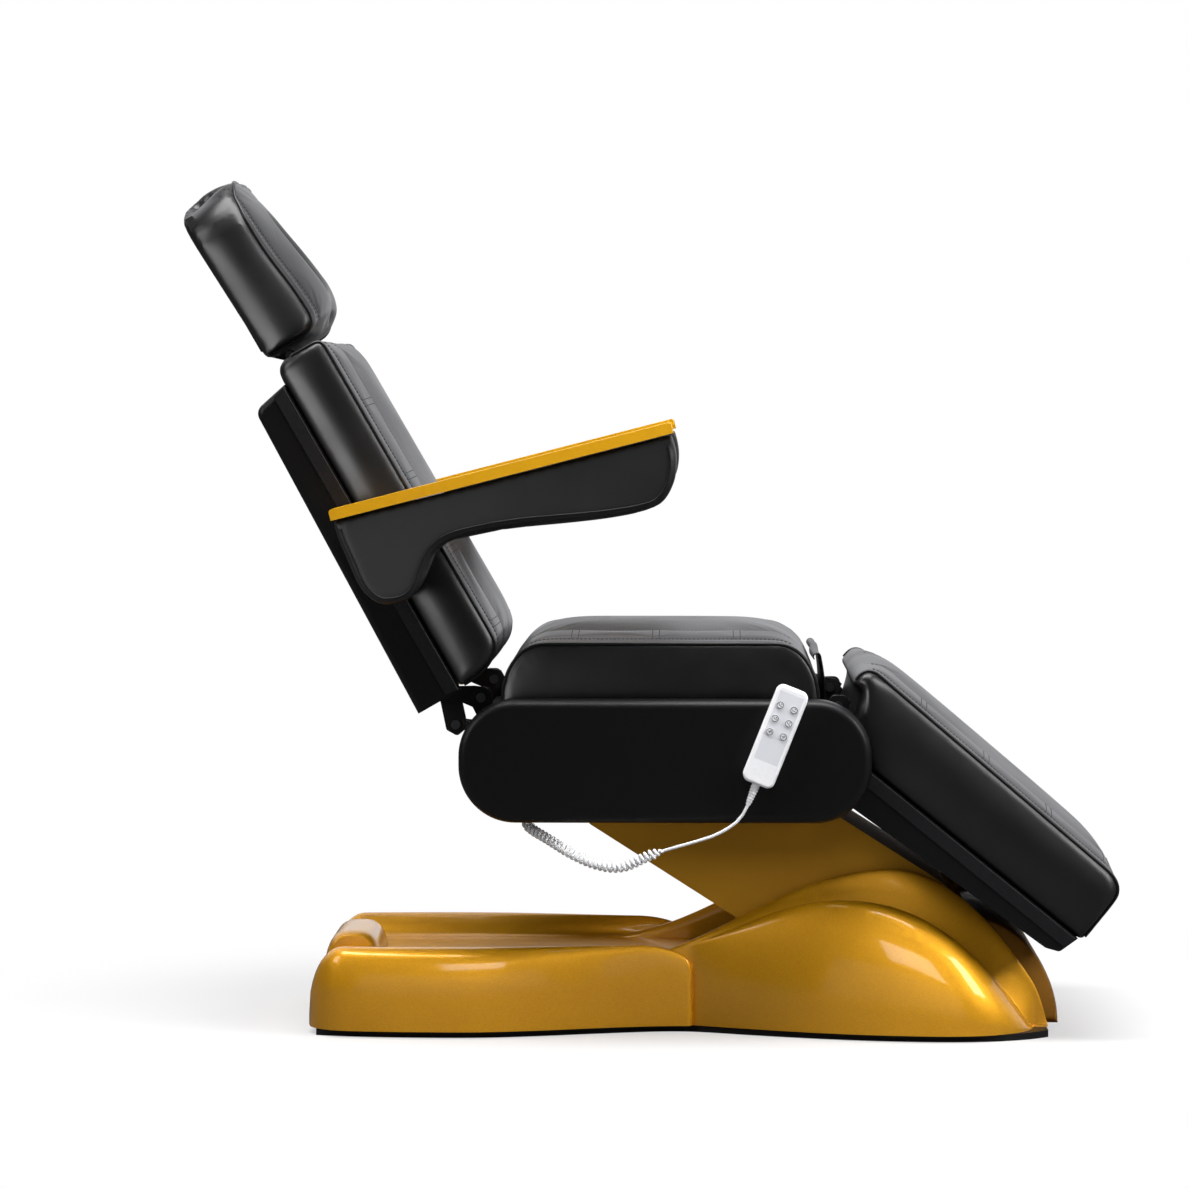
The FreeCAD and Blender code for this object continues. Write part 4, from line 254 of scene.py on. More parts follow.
class Look(NodeMaker):
    """One procedural material."""

    def __init__(self, name, **constants):
        self.material = bpy.data.materials.new(name)
        self.material.use_nodes = True
        super().__init__(self.material.node_tree)
        self.shader = self.tree.nodes["Principled BSDF"]
        for socket, value in constants.items():
            self.set(socket.replace("_", " ").title().replace("Ior", "IOR"), value)
        self.spot = self.node("ShaderNodeTexCoord", output="Object")

    def set(self, socket, value):
        self.feed(self.shader.inputs[socket], value)

    def stretched(self, x, y, z):
        return self.node("ShaderNodeVectorMath", {0: self.spot, 1: (x, y, z)}, operation="MULTIPLY")

    def noise(self, scale, detail, at=None):
        return self.node("ShaderNodeTexNoise", {"Vector": at or self.spot, "Scale": scale, "Detail": detail})

    def cells(self, scale):
        return self.node("ShaderNodeTexVoronoi", {"Vector": self.spot, "Scale": scale}, "Distance",
                         feature="SMOOTH_F1")

    def colours(self, share, first, second):
        return self.node("ShaderNodeMix", {0: share, 6: (*first, 1), 7: (*second, 1)}, 2, data_type="RGBA")

    def bumped(self, height, distance, strength, **under):
        return self.node("ShaderNodeBump", {"Height": height, "Distance": distance, "Strength": strength, **under})

    def finished(self, share, deep, bright, roughness, normal):
        """The material, its colour mixed from two sRGB colours by a share."""
        self.set("Base Color", self.colours(share, srgb(*deep), srgb(*bright)))
        self.set("Roughness", roughness)
        self.set("Normal", normal)
        return self.material


class Recipe(NodeMaker):
    """A geometry node tree that makes trim along drawn lines; its inputs have names."""

    def __init__(self, name, **inputs):
        super().__init__(bpy.data.node_groups.new(name, "GeometryNodeTree"))
        face = self.tree.interface
        face.new_socket("Lines", in_out="INPUT", socket_type="NodeSocketGeometry")
        face.new_socket("Trim", in_out="OUTPUT", socket_type="NodeSocketGeometry")
        self.names = {}
        for label, kind in inputs.items():
            made = face.new_socket(label, in_out="INPUT", socket_type=f"NodeSocket{kind}")
            self.names[label] = made.identifier
        self.start = self.tree.nodes.new("NodeGroupInput")

    def given(self, label):
        return Value(self, self.start.outputs[label])

    def even_lines(self, label):
        """The drawn lines with points at even steps."""
        return self.node("GeometryNodeResampleCurve", {"Curve": self.given("Lines"), "Length": self.given(label)},
                         mode="LENGTH")

    def close(self, trim):
        whole = self.node("GeometryNodeRealizeInstances", {"Geometry": trim})
        end = self.tree.nodes.new("NodeGroupOutput")
        self.feed(end.inputs["Trim"], self.node("GeometryNodeSetMaterial",
                                                {"Geometry": whole, "Material": self.given("Cover")}))

    def make(self, name, lines, **settings):
        """Draws the lines, runs the recipe on them and returns what it made as a plain mesh piece."""
        curve = drawn(name, "POLY", lines)
        step = curve.modifiers.new("trim", "NODES")
        step.node_group = self.tree
        for label, value in settings.items():
            step[self.names[label]] = value
        curve.update_tag()
        bpy.context.view_layer.update()
        return linked(name, traced(curve))


def piping_recipe():
    recipe = Recipe("piping", Step="Float", Radius="Float", Cover="Material")
    ring = recipe.node("GeometryNodeCurvePrimitiveCircle", {"Resolution": 8, "Radius": recipe.given("Radius")})
    tube = recipe.node("GeometryNodeCurveToMesh",
                       {"Curve": recipe.even_lines("Step"), "Profile Curve": ring, "Fill Caps": True})
    recipe.close(recipe.node("GeometryNodeSetShadeSmooth", {"Geometry": tube}))
    return recipe


def stitch_recipe():
    recipe = Recipe("stitches", Spacing="Float", Length="Float", Radius="Float", Cover="Material")
    heading = recipe.node("FunctionNodeAlignRotationToVector", {"Vector": recipe.node("GeometryNodeInputTangent")},
                          axis="X")
    bead = recipe.node("GeometryNodeMeshIcoSphere", {"Subdivisions": 1})
    radius = recipe.given("Radius")
    shape = recipe.node("ShaderNodeCombineXYZ", {0: recipe.given("Length") * 0.5, 1: radius, 2: radius})
    recipe.close(recipe.node("GeometryNodeInstanceOnPoints", {
        "Points": recipe.even_lines("Spacing"), "Instance": bead, "Rotation": heading, "Scale": shape}))
    return recipe


def srgb(*parts):
    """The linear colour of sRGB parts from 0 to 255."""
    shares = [part / 255 for part in parts]
    return [share / 12.92 if share <= 0.04045 else ((share + 0.055) / 1.055) ** 2.4 for share in shares]


def leather(name, dark, light, roughness, coat):
    """Coated upholstery leather: fine pebble grain, soft creases, a satin top coat."""
    look = Look(name, coat_roughness=0.24, specular_ior_level=0.42)
    grain = look.cells(620)
    wear = look.ramp(look.noise(7, 3), 0.35, 0.7)
    look.set("Coat Weight", coat * (1 - 0.5 * wear))
    creases = look.bumped(look.noise(22, 4, look.stretched(1, 0.6, 1)), 0.001, 0.4)
    return look.finished(wear * 0.6 + grain * 0.5, dark, light, roughness + 0.06 * wear + 0.08 * grain,
                         look.bumped(grain + 0.3 * look.noise(2400, 2), 0.00008, 0.6, Normal=creases))


def metallic_paint(name, deep, bright, roughness, coat):
    """Moulded shell in metal-flake paint under clear lacquer, with a little orange peel."""
    look = Look(name, metallic=0.6, coat_roughness=0.08)
    flakes = look.node("ShaderNodeTexVoronoi", {"Vector": look.spot, "Scale": 1500}, "Color")
    glint = look.node("ShaderNodeSeparateColor", {0: flakes})
    look.set("Coat Weight", coat - 0.08 * look.ramp(look.noise(16, 3), 0.4, 0.7))
    peel = look.bumped(look.noise(160, 2), 0.00025, 0.25)
    return look.finished(glint * 0.55 + look.noise(5, 3) * 0.45, deep, bright, roughness + 0.14 * glint,
                         look.bumped(glint, 0.00008, 0.35, Normal=peel))


def brushed_gold(name, deep, bright):
    look = Look(name, metallic=0.78, specular_ior_level=0.5)
    streaks = look.noise(90, 4, look.stretched(1.2, 26, 26))
    return look.finished(streaks * 0.7 + look.noise(9, 3) * 0.3, deep, bright, 0.36 + 0.18 * streaks,
                         look.bumped(streaks, 0.00012, 0.5))


def powder_coat(name, deep, bright, metallic, roughness, grain_size):
    """Sprayed coat on sheet metal: even speckle and a fine hammered skin."""
    look = Look(name, metallic=metallic)
    speckle = look.noise(1100 / grain_size, 2)
    return look.finished(speckle * 0.5 + look.noise(6, 3) * 0.5, deep, bright, roughness + 0.16 * speckle,
                         look.bumped(look.cells(520 / grain_size), 0.0002, 0.45))


def moulded_plastic(name, deep, bright, roughness, grain, depth):
    """Injection moulded plastic with an eroded grain from its mould."""
    look = Look(name, specular_ior_level=0.35)
    erosion = look.noise(grain, 4)
    return look.finished(erosion * 0.5 + look.noise(4, 2) * 0.5, deep, bright,
                         roughness + 0.15 * look.ramp(erosion, 0.3, 0.7), look.bumped(erosion, depth, 0.6))


def bare_steel(name, deep, bright, roughness):
    look = Look(name, metallic=1.0)
    turning = look.noise(420, 3, look.stretched(1, 0.15, 1))
    return look.finished(turning * 0.5 + look.noise(30, 4) * 0.5, deep, bright, roughness + 0.2 * turning,
                         look.bumped(turning, 0.00006, 0.5))


LOOKS = {
    "upholstery": leather("black_leather", (4, 4, 5), (13, 13, 14), 0.31, 0.3),
    "armrest_upholstery": leather("armrest_leather", (7, 7, 8), (18, 18, 19), 0.42, 0.05),
    "gold_paint": metallic_paint("gold_base_paint", (208, 138, 3), (242, 178, 22), 0.36, 0.85),
    # the foot skin's darker gold is painted shade, a shaded copy of the base paint, not a paint of its own
    "foot_skin": metallic_paint("gold_foot_paint", (120, 78, 8), (150, 100, 16), 0.55, 0.1),
    "gold_plate": brushed_gold("gold_armrest_plate", (216, 148, 6), (248, 190, 30)),
    "arm_paint": powder_coat("gold_arm_paint", (168, 114, 8), (212, 154, 26), 0.6, 0.42, 1.0),
    "dark_metal": powder_coat("black_frame_coat", (16, 16, 17), (34, 34, 36), 0.2, 0.45, 1.0),
    "steel": bare_steel("zinc_steel", (74, 76, 80), (134, 136, 140), 0.3),
    "board": powder_coat("black_board", (20, 19, 18), (36, 34, 32), 0.0, 0.7, 2.0),
    "black_plastic": moulded_plastic("black_abs", (6, 6, 7), (17, 17, 18), 0.34, 700, 0.00008),
    # the rims' lighter grey is painted sheen; their coarse grain is real
    "cover_rim": moulded_plastic("grained_abs", (16, 16, 18), (40, 40, 43), 0.36, 420, 0.0004),
    "drive_plastic": moulded_plastic("drive_housing", (18, 18, 20), (36, 36, 38), 0.5, 900, 0.0002),
    "white_plastic": moulded_plastic("white_abs", (232, 233, 236), (248, 248, 250), 0.26, 300, 0.00004),
    "keypad_film": moulded_plastic("grey_keypad", (208, 210, 216), (226, 227, 232), 0.4, 1600, 0.00005),
    "button_rubber": moulded_plastic("button_rubber", (222, 223, 228), (238, 239, 242), 0.5, 2000, 0.00005),
    "cord_sheath": moulded_plastic("white_sheath", (226, 227, 230), (246, 246, 248), 0.34, 900, 0.00005),
    "flap_cloth": leather("flap_leather", (7, 7, 8), (20, 20, 21), 0.36, 0.15),
}
thread = moulded_plastic("black_thread", (6, 6, 7), (20, 20, 21), 0.6, 3000, 0.0001)
print_ink = moulded_plastic("keypad_print", (24, 25, 29), (44, 46, 50), 0.7, 3000, 0.00002)


def trim(piece, body, slot_name=None):
    """Gives a made piece its body; the slot name is not used."""
    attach(piece, body)


def dress(piece, slot_name, body, stood_for):
    """Gives a made piece its look and its body, and hides the CAD node that it stands for."""
    paint(piece, LOOKS[slot_name])
    trim(piece, body, slot_name)
    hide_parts(stood_for)


# ---------- backdrop and floor
def make_backdrop():
    """White to the camera; to everything else a dim studio with a pale wall behind the chair."""
    world = bpy.data.worlds.new("studio")
    world.use_nodes = True
    scene.world = world
    maker = NodeMaker(world.node_tree)
    seen = maker.node("ShaderNodeLightPath", output="Is Camera Ray")
    white = maker.tree.nodes["Background"]
    maker.feed(white.inputs["Color"], (1, 1, 1, 1))
    way = maker.node("ShaderNodeTexCoord", output="Generated")
    x, y, z = [maker.node("ShaderNodeSeparateXYZ", {0: way}, axis) for axis in "XYZ"]
    wall = maker.ramp(y, -0.15, 0.55, 0.05, 0.9)
    upper = maker.ramp(z + 0.5 * x, -0.12, 0.06, 0.12, 1.0, "LINEAR")
    room = maker.node("ShaderNodeBackground", {"Color": (0.96, 0.97, 1, 1), "Strength": wall * upper})
    choice = maker.node("ShaderNodeMixShader", {0: seen, 1: room, 2: Value(maker, white.outputs[0])})
    maker.feed(maker.tree.nodes["World Output"].inputs["Surface"], choice)


def make_floor():
    data = bpy.data.meshes.new("floor")
    data.from_pydata([(-9, -9, 0), (9, -9, 0), (9, 9, 0), (-9, 9, 0)], [], [(0, 1, 2, 3)])
    floor = linked("floor", data)
    # to the camera the floor glows white: at half strength near the chair, where the glow pales its cast shadow as
    # painted light, and fully farther off; to other rays it is dark grey
    look = Look("pale_floor", roughness=0.75, specular_ior_level=0.1)
    seen = look.node("ShaderNodeLightPath", output="Is Camera Ray")
    look.set("Base Color", look.colours(seen * (0.9 + 0.1 * look.noise(3, 3)), (0.14, 0.14, 0.14), (0.97, 0.97, 0.972)))
    away = look.node("ShaderNodeVectorMath", {0: look.spot}, "Value", operation="LENGTH")
    white = look.node("ShaderNodeEmission", {"Color": (1, 1, 1, 1)})
    fade = (0.5 + 0.5 * look.ramp(away, 0.65, 1.2)) * seen
    faded = look.node("ShaderNodeMixShader", {0: fade, 1: Value(look, look.shader.outputs[0]), 2: white})
    look.feed(look.tree.nodes["Material Output"].inputs["Surface"], faded)
    data.materials.append(look.material)


make_backdrop()
make_floor()


# ---------- handset cord
LEAD = [(95.3, -353, 352.7), (86.4, -353, 330.4), (50, -352, 308), (10, -350, 296), (-21, -347, 287)]
CURL = [(-21, -347, 287), (-45.9, -344.6, 279.8), (-84, -342, 259), (-122, -336, 263), (-160, -326, 279),
        (-194, -308, 299), (-222, -284, 312), (-240, -264, 334), (-246, -258, 372.2), (-246, -258, 410.2)]
CORD_RADIUS, COIL_RADIUS, COIL_TURNS = 2.3, 6.0, 34
COIL_START, COIL_STOP, COIL_RAMP, POINTS_A_TURN = 4.6, 90.0, 16.0, 14


def spline_curve(name, points, radius, resolution):
    """A cord's curve: a quadratic NURBS spline on the given points, in metres, with a round bevel."""
    line = drawn(name, "NURBS", [points])
    line.data.resolution_u = resolution
    line.data.bevel_depth = radius
    line.data.bevel_resolution = 4
    line.data.use_fill_caps = True
    line.data.splines[0].order_u = 3
    line.data.splines[0].use_endpoint_u = True
    return line


def route_points(route):
    """The points of a route's own spline, as a curve with no bevel gives them."""
    mesh = traced(spline_curve("route", route, 0, 24))
    points = mesh_points(mesh)
    bpy.data.meshes.remove(mesh)
    return points


def travel(points):
    return np.concatenate([[0], np.cumsum(np.linalg.norm(np.diff(points, axis=0), axis=1))])


def coil_points(route):
    """The curly part: a helix round the route between two straight ends."""
    points = route_points(np.array(route) * MM)
    run = travel(points)
    start, stop = COIL_START * MM, run[-1] - COIL_STOP * MM
    stations = np.linspace(start, stop, COIL_TURNS * POINTS_A_TURN + 1)

    def spots(shift):
        return np.stack([np.interp(stations + shift, run, points[:, axis]) for axis in range(3)], -1)

    heading = spots(2 * MM) - spots(-2 * MM)
    heading /= np.linalg.norm(heading, axis=1)[:, None]
    side = np.array([0.0, 1.0, 0.0])
    wound = []
    for number, (centre, way) in enumerate(zip(spots(0), heading)):
        side = side - way * (side @ way)
        side /= np.linalg.norm(side)
        up = np.cross(way, side)
        edge = min(stations[number] - start, stop - stations[number]) / (COIL_RAMP * MM)
        radius = COIL_RADIUS * MM * min(1.0, edge)
        angle = 2 * math.pi * number / POINTS_A_TURN
        wound.append(centre + radius * (math.cos(angle) * side + math.sin(angle) * up))
    return np.concatenate([points[run < start][::3], wound, points[run > stop][::6], points[-1:]])


cord_points = np.concatenate([np.array(LEAD[:-1]) * MM, coil_points(CURL)[1:]])
cord = linked("handset_cord", traced(spline_curve("handset_cord", cord_points, CORD_RADIUS * MM, 3)))
cord.data.shade_smooth()
paint(cord, LOOKS["cord_sheath"])
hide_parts("straight_cord", "curly_cord")
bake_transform(cord)


# ---------- moulded base
BASE_REACH, BASE_FLOOR, TRAY_TOP, CHANNEL_SIDE, FIN = 551.0, 10.0, 98.5, 165.0, 10.0
WAIST, CREST_START, CREST_TOP_X, BULGE_X, HUMP_WIDE_X, HEAD_WIDE_X = 16.0, -133.0, 305.0, 235.0, 390.0, -335.0
HUMP_NOSE, CREST_NOSE = 514.0, 539.0
RAIL_WIDE, RAIL_TOP, HUMP_WIDE, BULGE_TOP, CREST_TOP = 262, 130, 289, 200, 240


def swell(share):
    return (1 - math.cos(math.pi * min(max(share, 0.0), 1.0))) / 2


def quarter(share):
    return math.sqrt(1 - (1 - min(max(share, 0.0), 1.0)) ** 2)


def rail_half_width(x):
    if x < HEAD_WIDE_X:
        corner = 44 * (1 - quarter((x + BASE_REACH) / 55))
        return RAIL_WIDE - 40 + 40 * quarter((x + BASE_REACH) / (HEAD_WIDE_X + BASE_REACH)) - corner
    return RAIL_WIDE - 75 * swell((x - HEAD_WIDE_X) / (WAIST - HEAD_WIDE_X)) - 9 * (1 - quarter((WAIST - x) / 10))


def rail_height(x):
    front = RAIL_TOP - 104 + 104 * quarter((x + BASE_REACH) / 54)
    return min(front, RAIL_TOP - 38 + 38 * quarter((WAIST - x) / 85)) - 7 * (1 - quarter((WAIST - x) / 9))


def hump_half_width(x):
    if x < WAIST:
        return 176.0
    if x < HUMP_WIDE_X:
        return HUMP_WIDE - 111 + 111 * math.sin(math.pi / 2 * (x - WAIST) / (HUMP_WIDE_X - WAIST))
    return HUMP_WIDE - 108 + 108 * quarter((HUMP_NOSE + 3 - x) / (HUMP_NOSE + 3 - HUMP_WIDE_X))


def crest_height(x):
    if x < CREST_TOP_X:
        return CREST_TOP - 140 + 140 * swell((x - CREST_START) / (CREST_TOP_X - CREST_START))
    fall = CREST_TOP - 222 * ((x - CREST_TOP_X) / (BASE_REACH - CREST_TOP_X)) ** 2
    return max(fall - 40 * (1 - quarter((CREST_NOSE - x) / 24)), 16.0)


def bulge_height(x):
    if x < WAIST:
        return crest_height(x) - 8
    if x < BULGE_X:
        share = (x - WAIST) / (BULGE_X - WAIST)
        low = crest_height(x) - 8
        return low + (BULGE_TOP - 108 + 108 * math.sin(math.pi / 2 * share) - low) * swell(share)
    return max(BULGE_TOP - 190 * min((x - BULGE_X) / (HUMP_NOSE - BULGE_X), 1) ** 2.3, 13.0)


# outer sides of the sections, as shares of their spread inward and of their rise
RAIL_SIDE = [(0, 0), (0.012, 0.34), (0.05, 0.66), (0.17, 0.92), (0.44, 1)]
HUMP_SIDE = [(0, 0), (0.015, 0.28), (0.07, 0.54), (0.18, 0.77), (0.34, 0.94), (0.5, 1)]
# side profiles x, z; NOSE, TRAY_UNDER and BUMPER count x from NOSE_X
NOSE_X, BAND_SIDE = 1.5 - BASE_REACH, 168
NOSE = [(0, 11.5), (0, 11.5), (0, 30), (4, 48), (20, 94), (30, TRAY_TOP), (60, TRAY_TOP)]
TRAY_LIP = [(-24, TRAY_TOP), (-20.5, TRAY_TOP - 2), (-20, TRAY_TOP - 6), (-20, 90), (-20, 90)]
TRAY_UNDER = [(30, 90), (30, 90), (6, 11.5), (6, 11.5)]
BUMPER = [(8, 60), (13, 92), (22, 120), (36, 134), (56, 137), (76, 135), (90, 124), (97, 108), (99, 94), (99, 94),
          (30, 90), (8, 60)]
FOOT_SKIN = [(425, 176), (425, 176), (455, 168), (485, 152), (508, 133), (528, 107), (544, 74), (553, 42),
             (556, 12), (556, 12)]
FOOT_INSIDE = [(512, 12), (512, 12), (500, 60), (480, 102), (455, 140), (425, 168), (425, 168)]


def through(points, pace):
    """A smooth line through section points, as a Catmull-Rom spline; a doubled point makes a corner."""
    points = np.array(points, float)
    padded = np.concatenate([2 * points[:1] - points[1:2], points, 2 * points[-1:] - points[-2:-1]])
    share = np.linspace(0, 1, pace, endpoint=False)[:, None]
    runs = []
    for first, second, third, fourth in zip(padded, padded[1:], padded[2:], padded[3:]):
        if np.allclose(second, third):
            continue
        runs.append(0.5 * (2 * second + (third - first) * share
                           + (2 * first - 5 * second + 4 * third - fourth) * share ** 2
                           + (3 * second - first - 3 * third + fourth) * share ** 3))
    return np.concatenate(runs + [points[-1:]])


def side_points(shares, outer, spread, rise):
    return [(outer - inward * spread, BASE_FLOOR + up * rise) for inward, up in shares]


def rail_section(x):
    outer, top = rail_half_width(x), rail_height(x)
    spread, dip = max(outer - CHANNEL_SIDE - FIN, 3), min(TRAY_TOP + 1.0, top)
    inner, low = CHANNEL_SIDE - 4, min(dip, TRAY_TOP - 1)
    return through(side_points(RAIL_SIDE, outer, spread, top - BASE_FLOOR) + [
        (outer - 0.72 * spread, dip + 0.6 * (top - dip)), (outer - 0.93 * spread, dip + 0.06 * (top - dip)),
        (inner, low), (inner, low), (inner, BASE_FLOOR), (inner, BASE_FLOOR)], 6)


def hump_section(x):
    outer, top, crest = hump_half_width(x), bulge_height(x), crest_height(x)
    inner, fin = CHANNEL_SIDE, CHANNEL_SIDE + FIN
    spread, rise = outer - fin, top - BASE_FLOOR
    groove = 17 * swell((x - 90) / 170) * min(1.0, max(0.0, rise - 14) / 60)
    dip = min(top, crest) - groove
    return through(side_points(HUMP_SIDE, outer, spread, rise) + [
        (outer - 0.64 * spread, dip + 0.6 * (top - dip)), (outer - 0.76 * spread, dip),
        (outer - 0.9 * spread, dip + 0.5 * (crest - dip)), (fin, crest - 2.5), (fin - 3.5, crest),
        (inner + 2.5, crest - 0.5), (inner, crest - 4), (inner, crest - 4), (inner, BASE_FLOOR),
        (inner, BASE_FLOOR)], 6)


def swept(shell, section, stations, flip):
    """A body along the base, with a section's points y, z at each station x."""
    skinned(shell, [[(x * MM, flip * y * MM, z * MM) for y, z in section(x)] for x in stations])


def spaced(start, end, count, crowd):
    """Stations from start to end, crowded at both ends by a share."""
    share = np.linspace(0, 1, count)
    return start + (end - start) * ((1 - crowd) * share + crowd * (1 - np.cos(np.pi * share)) / 2)


def band(shell, profile, half_width, round_off, rows):
    """A closed profile x, z drawn across the base, its ends rounded over."""
    middle, side = profile.mean(0), half_width - round_off
    sections = []
    for turn in np.linspace(-math.pi / 2, math.pi / 2, rows):
        across = math.copysign(side, turn) + round_off * math.sin(turn)
        shrink = 1 - (round_off / half_width) * (1 - math.cos(turn)) * 0.9
        sections.append((across, middle + (profile - middle) * shrink))
    sections[rows // 2:rows // 2 + 1] = [(-side, profile), (side, profile)]
    skinned(shell, [[(x * MM, across * MM, z * MM) for x, z in points] for across, points in sections])


def moulded(name, shell):
    mesh = shell_mesh(name, shell)
    mesh.shade_smooth()
    mesh.set_sharp_from_angle(angle=math.radians(48))
    return linked(name, mesh)


def from_nose(points):
    return [(NOSE_X + x, z) for x, z in points]


def make_base_shell():
    shell = bmesh.new()
    rail_stations = np.concatenate([spaced(-BASE_REACH, WAIST - 24, 70, 0.6), np.linspace(WAIST - 22, WAIST, 12)])
    hump_stations = spaced(CREST_START, CREST_NOSE, 120, 0.5)
    for flip in (1, -1):
        swept(shell, rail_section, rail_stations, flip)
        swept(shell, hump_section, hump_stations, flip)
    band(shell, through(from_nose(NOSE) + TRAY_LIP + from_nose(TRAY_UNDER), 5), BAND_SIDE, 1, 5)
    band(shell, through(from_nose(BUMPER), 6), 92, 26, 17)
    return moulded("base_shell", shell)


def make_foot_skin():
    """The skin that closes the base's foot end between the crests; its darker gold is painted shade, standing in for
    the crests' shade.
    """
    shell = bmesh.new()
    band(shell, through(FOOT_SKIN + FOOT_INSIDE, 5), BAND_SIDE, 22, 13)
    piece = moulded("foot_skin", shell)
    paint(piece, LOOKS["foot_skin"])
    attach(piece, "base")


dress(make_base_shell(), "gold_paint", "base", "base_cover")
make_foot_skin()


# ---------- padded forms
def ease(share):
    share = np.clip(share, 0, 1)
    return share * share * (3 - 2 * share)


def end_drop(distance, reach, drop):
    """How far a rounded end falls away at a distance from it."""
    share = np.clip(1 - distance / reach, 0, 1)
    return drop * (1 - np.sqrt(1 - share ** 2))


@dataclass
class Pad:
    """A stuffed cushion's form in its place: its side outline, how it crowns across, and where its seams run."""
    name: str
    place: Place
    start: float
    end: float
    bottom: object
    top: object
    half_width: float
    crown: float
    start_round: tuple
    end_round: tuple
    seams: list
    voxel: float
    cap: float
    cross_seams: tuple = ()
    hollow: tuple = None
    side_swell: float = 0
    end_swell: float = 0
    crest: object = None
    corner: float = 0

    def edge_height(self, along):
        """The piped edge's height, rounded off at both ends by a reach along and a drop."""
        return (self.top(along) - end_drop(along - self.start, *self.start_round)
                - end_drop(self.end - along, *self.end_round))

    def half(self, along):
        """Half the width at a place along, less where the end's corners are round."""
        if not self.corner:
            return self.half_width + 0 * along
        beyond = np.clip(along - self.end + self.corner, 0, self.corner)
        return self.half_width - self.corner + np.sqrt(self.corner ** 2 - beyond ** 2)

    def side_outline(self, steps=46):
        """Points u, w round the side, the face first from start to end, then the underside back again."""
        share = (1 - np.cos(np.linspace(0, math.pi, steps))) / 2
        along = self.start + (self.end - self.start) * share
        face = np.stack([along, self.edge_height(along)], -1)
        under = np.stack([along, self.bottom(along)], -1)[::-1]
        return face, under

    def rise(self, along, across):
        """The crown of the face above its side edge, with its seams pulled in."""
        share = np.clip(np.abs(across) / self.half(along), 0, 1)
        edge = (ease((along - self.start) / max(1.4 * self.start_round[0], 34))
                * ease((self.end - along) / max(1.4 * self.end_round[0], 34)))
        crown = (self.crest(along) - self.top(along)) if self.crest else self.crown
        height = crown * (1 - share ** 2.6) * (1 if self.crest else edge)
        for seam, depth, width in self.seams:
            height = height - depth * edge * np.exp(-((np.abs(across) - seam) / width) ** 2)
        if self.hollow:
            middle, length, width, depth = self.hollow
            away = np.hypot((along - middle) / (length / 2), across / (width / 2))
            height = height - depth * ease(1.25 - away)
        return height


EDGE_ROUND = 11.0


def inset_outline(outline, inset):
    """A closed outline drawn in by a distance, square to itself."""
    way = np.roll(outline, -1, 0) - np.roll(outline, 1, 0)
    way /= np.maximum(np.linalg.norm(way, axis=1), 1e-9)[:, None]
    turn = np.sum(outline[:, 0] * np.roll(outline[:, 1], -1) - np.roll(outline[:, 0], -1) * outline[:, 1])
    inward = np.stack([-way[:, 1], way[:, 0]], -1) * np.sign(turn)
    return outline + inward * inset


def form_mesh(pad):
    """The closed form of a pad, before it is stuffed."""
    face, under = pad.side_outline()
    outline = np.concatenate([face, under])
    count, half = len(outline), len(face)
    side = pad.half_width - EDGE_ROUND
    bend = np.sin(np.linspace(0, math.pi / 2, 6))[1:] * EDGE_ROUND
    across = np.concatenate([-side - bend[::-1], np.linspace(-side, side, 61), side + bend])
    points = []
    for v in across:
        beyond = max(0.0, abs(v) - side)
        ring = inset_outline(outline, EDGE_ROUND - math.sqrt(max(EDGE_ROUND ** 2 - beyond ** 2, 0)))
        aside = v * pad.half(outline[:, 0]) / pad.half_width
        ring[:half, 1] += pad.rise(face[:, 0], aside[:half])
        points.append(np.insert(ring, 1, aside, 1))
    faces = grid_faces(len(across), count, True)
    for row, order in ((0, -1), ((len(across) - 1) * count, 1)):
        for number in range(half - 1):
            quad = [row + number, row + number + 1, row + count - 2 - number, row + count - 1 - number]
            faces.append(tuple(quad[::order]))
    mesh = bpy.data.meshes.new(pad.name)
    mesh.from_pydata(pad.place.world(np.concatenate(points)).tolist(), [], faces)
    shell = bmesh.new()
    shell.from_mesh(mesh)
    bpy.data.meshes.remove(mesh)
    bmesh.ops.remove_doubles(shell, verts=shell.verts, dist=0.0002)
    return shell_mesh(pad.name, shell)


def remeshed(name, mesh, voxel):
    piece = linked(name, mesh)
    skin = piece.modifiers.new("even", "REMESH")
    skin.mode = "VOXEL"
    skin.voxel_size = voxel * MM
    piece.data = baked(piece)
    piece.modifiers.clear()
    bpy.data.meshes.remove(mesh)
    return piece


def round_out(pad, piece):
    """Rounds the pad's side bands and its end out between their edges."""
    local = pad.place.local(mesh_points(piece.data))
    along, across, out = local.T
    bottom = pad.bottom(along)
    share = np.clip(2 * (out - bottom) / np.maximum(pad.edge_height(along) - bottom, 1) - 1, -1, 1)
    bow = 1 - share ** 2
    at_side = np.clip((np.abs(across) - pad.half(along) + EDGE_ROUND) / EDGE_ROUND, 0, 1)
    at_end = np.clip((along - pad.end + EDGE_ROUND) / EDGE_ROUND, 0, 1)
    local[:, 1] += np.sign(across) * pad.side_swell * bow * at_side
    local[:, 0] += pad.end_swell * bow * at_end
    set_points(piece.data, pad.place.world(local))


def pin_to_seams(piece, held):
    """The cloth keeps its place where it is sewn down or lies on its board."""
    group = piece.vertex_groups.new(name="sewn")
    for strength in (0.35, 0.7, 1.0):
        chosen = np.nonzero((held > strength - 0.2) & (held <= strength + 0.2))[0]
        group.add(chosen.tolist(), strength, "REPLACE")


COVER_CLOTH = dict(quality=4, mass=0.25, tension_stiffness=18, compression_stiffness=18, shear_stiffness=8,
                   bending_stiffness=0.4, use_pressure=True, uniform_pressure_force=4.0, vertex_group_mass="sewn")
STUFFING_FRAMES = 20


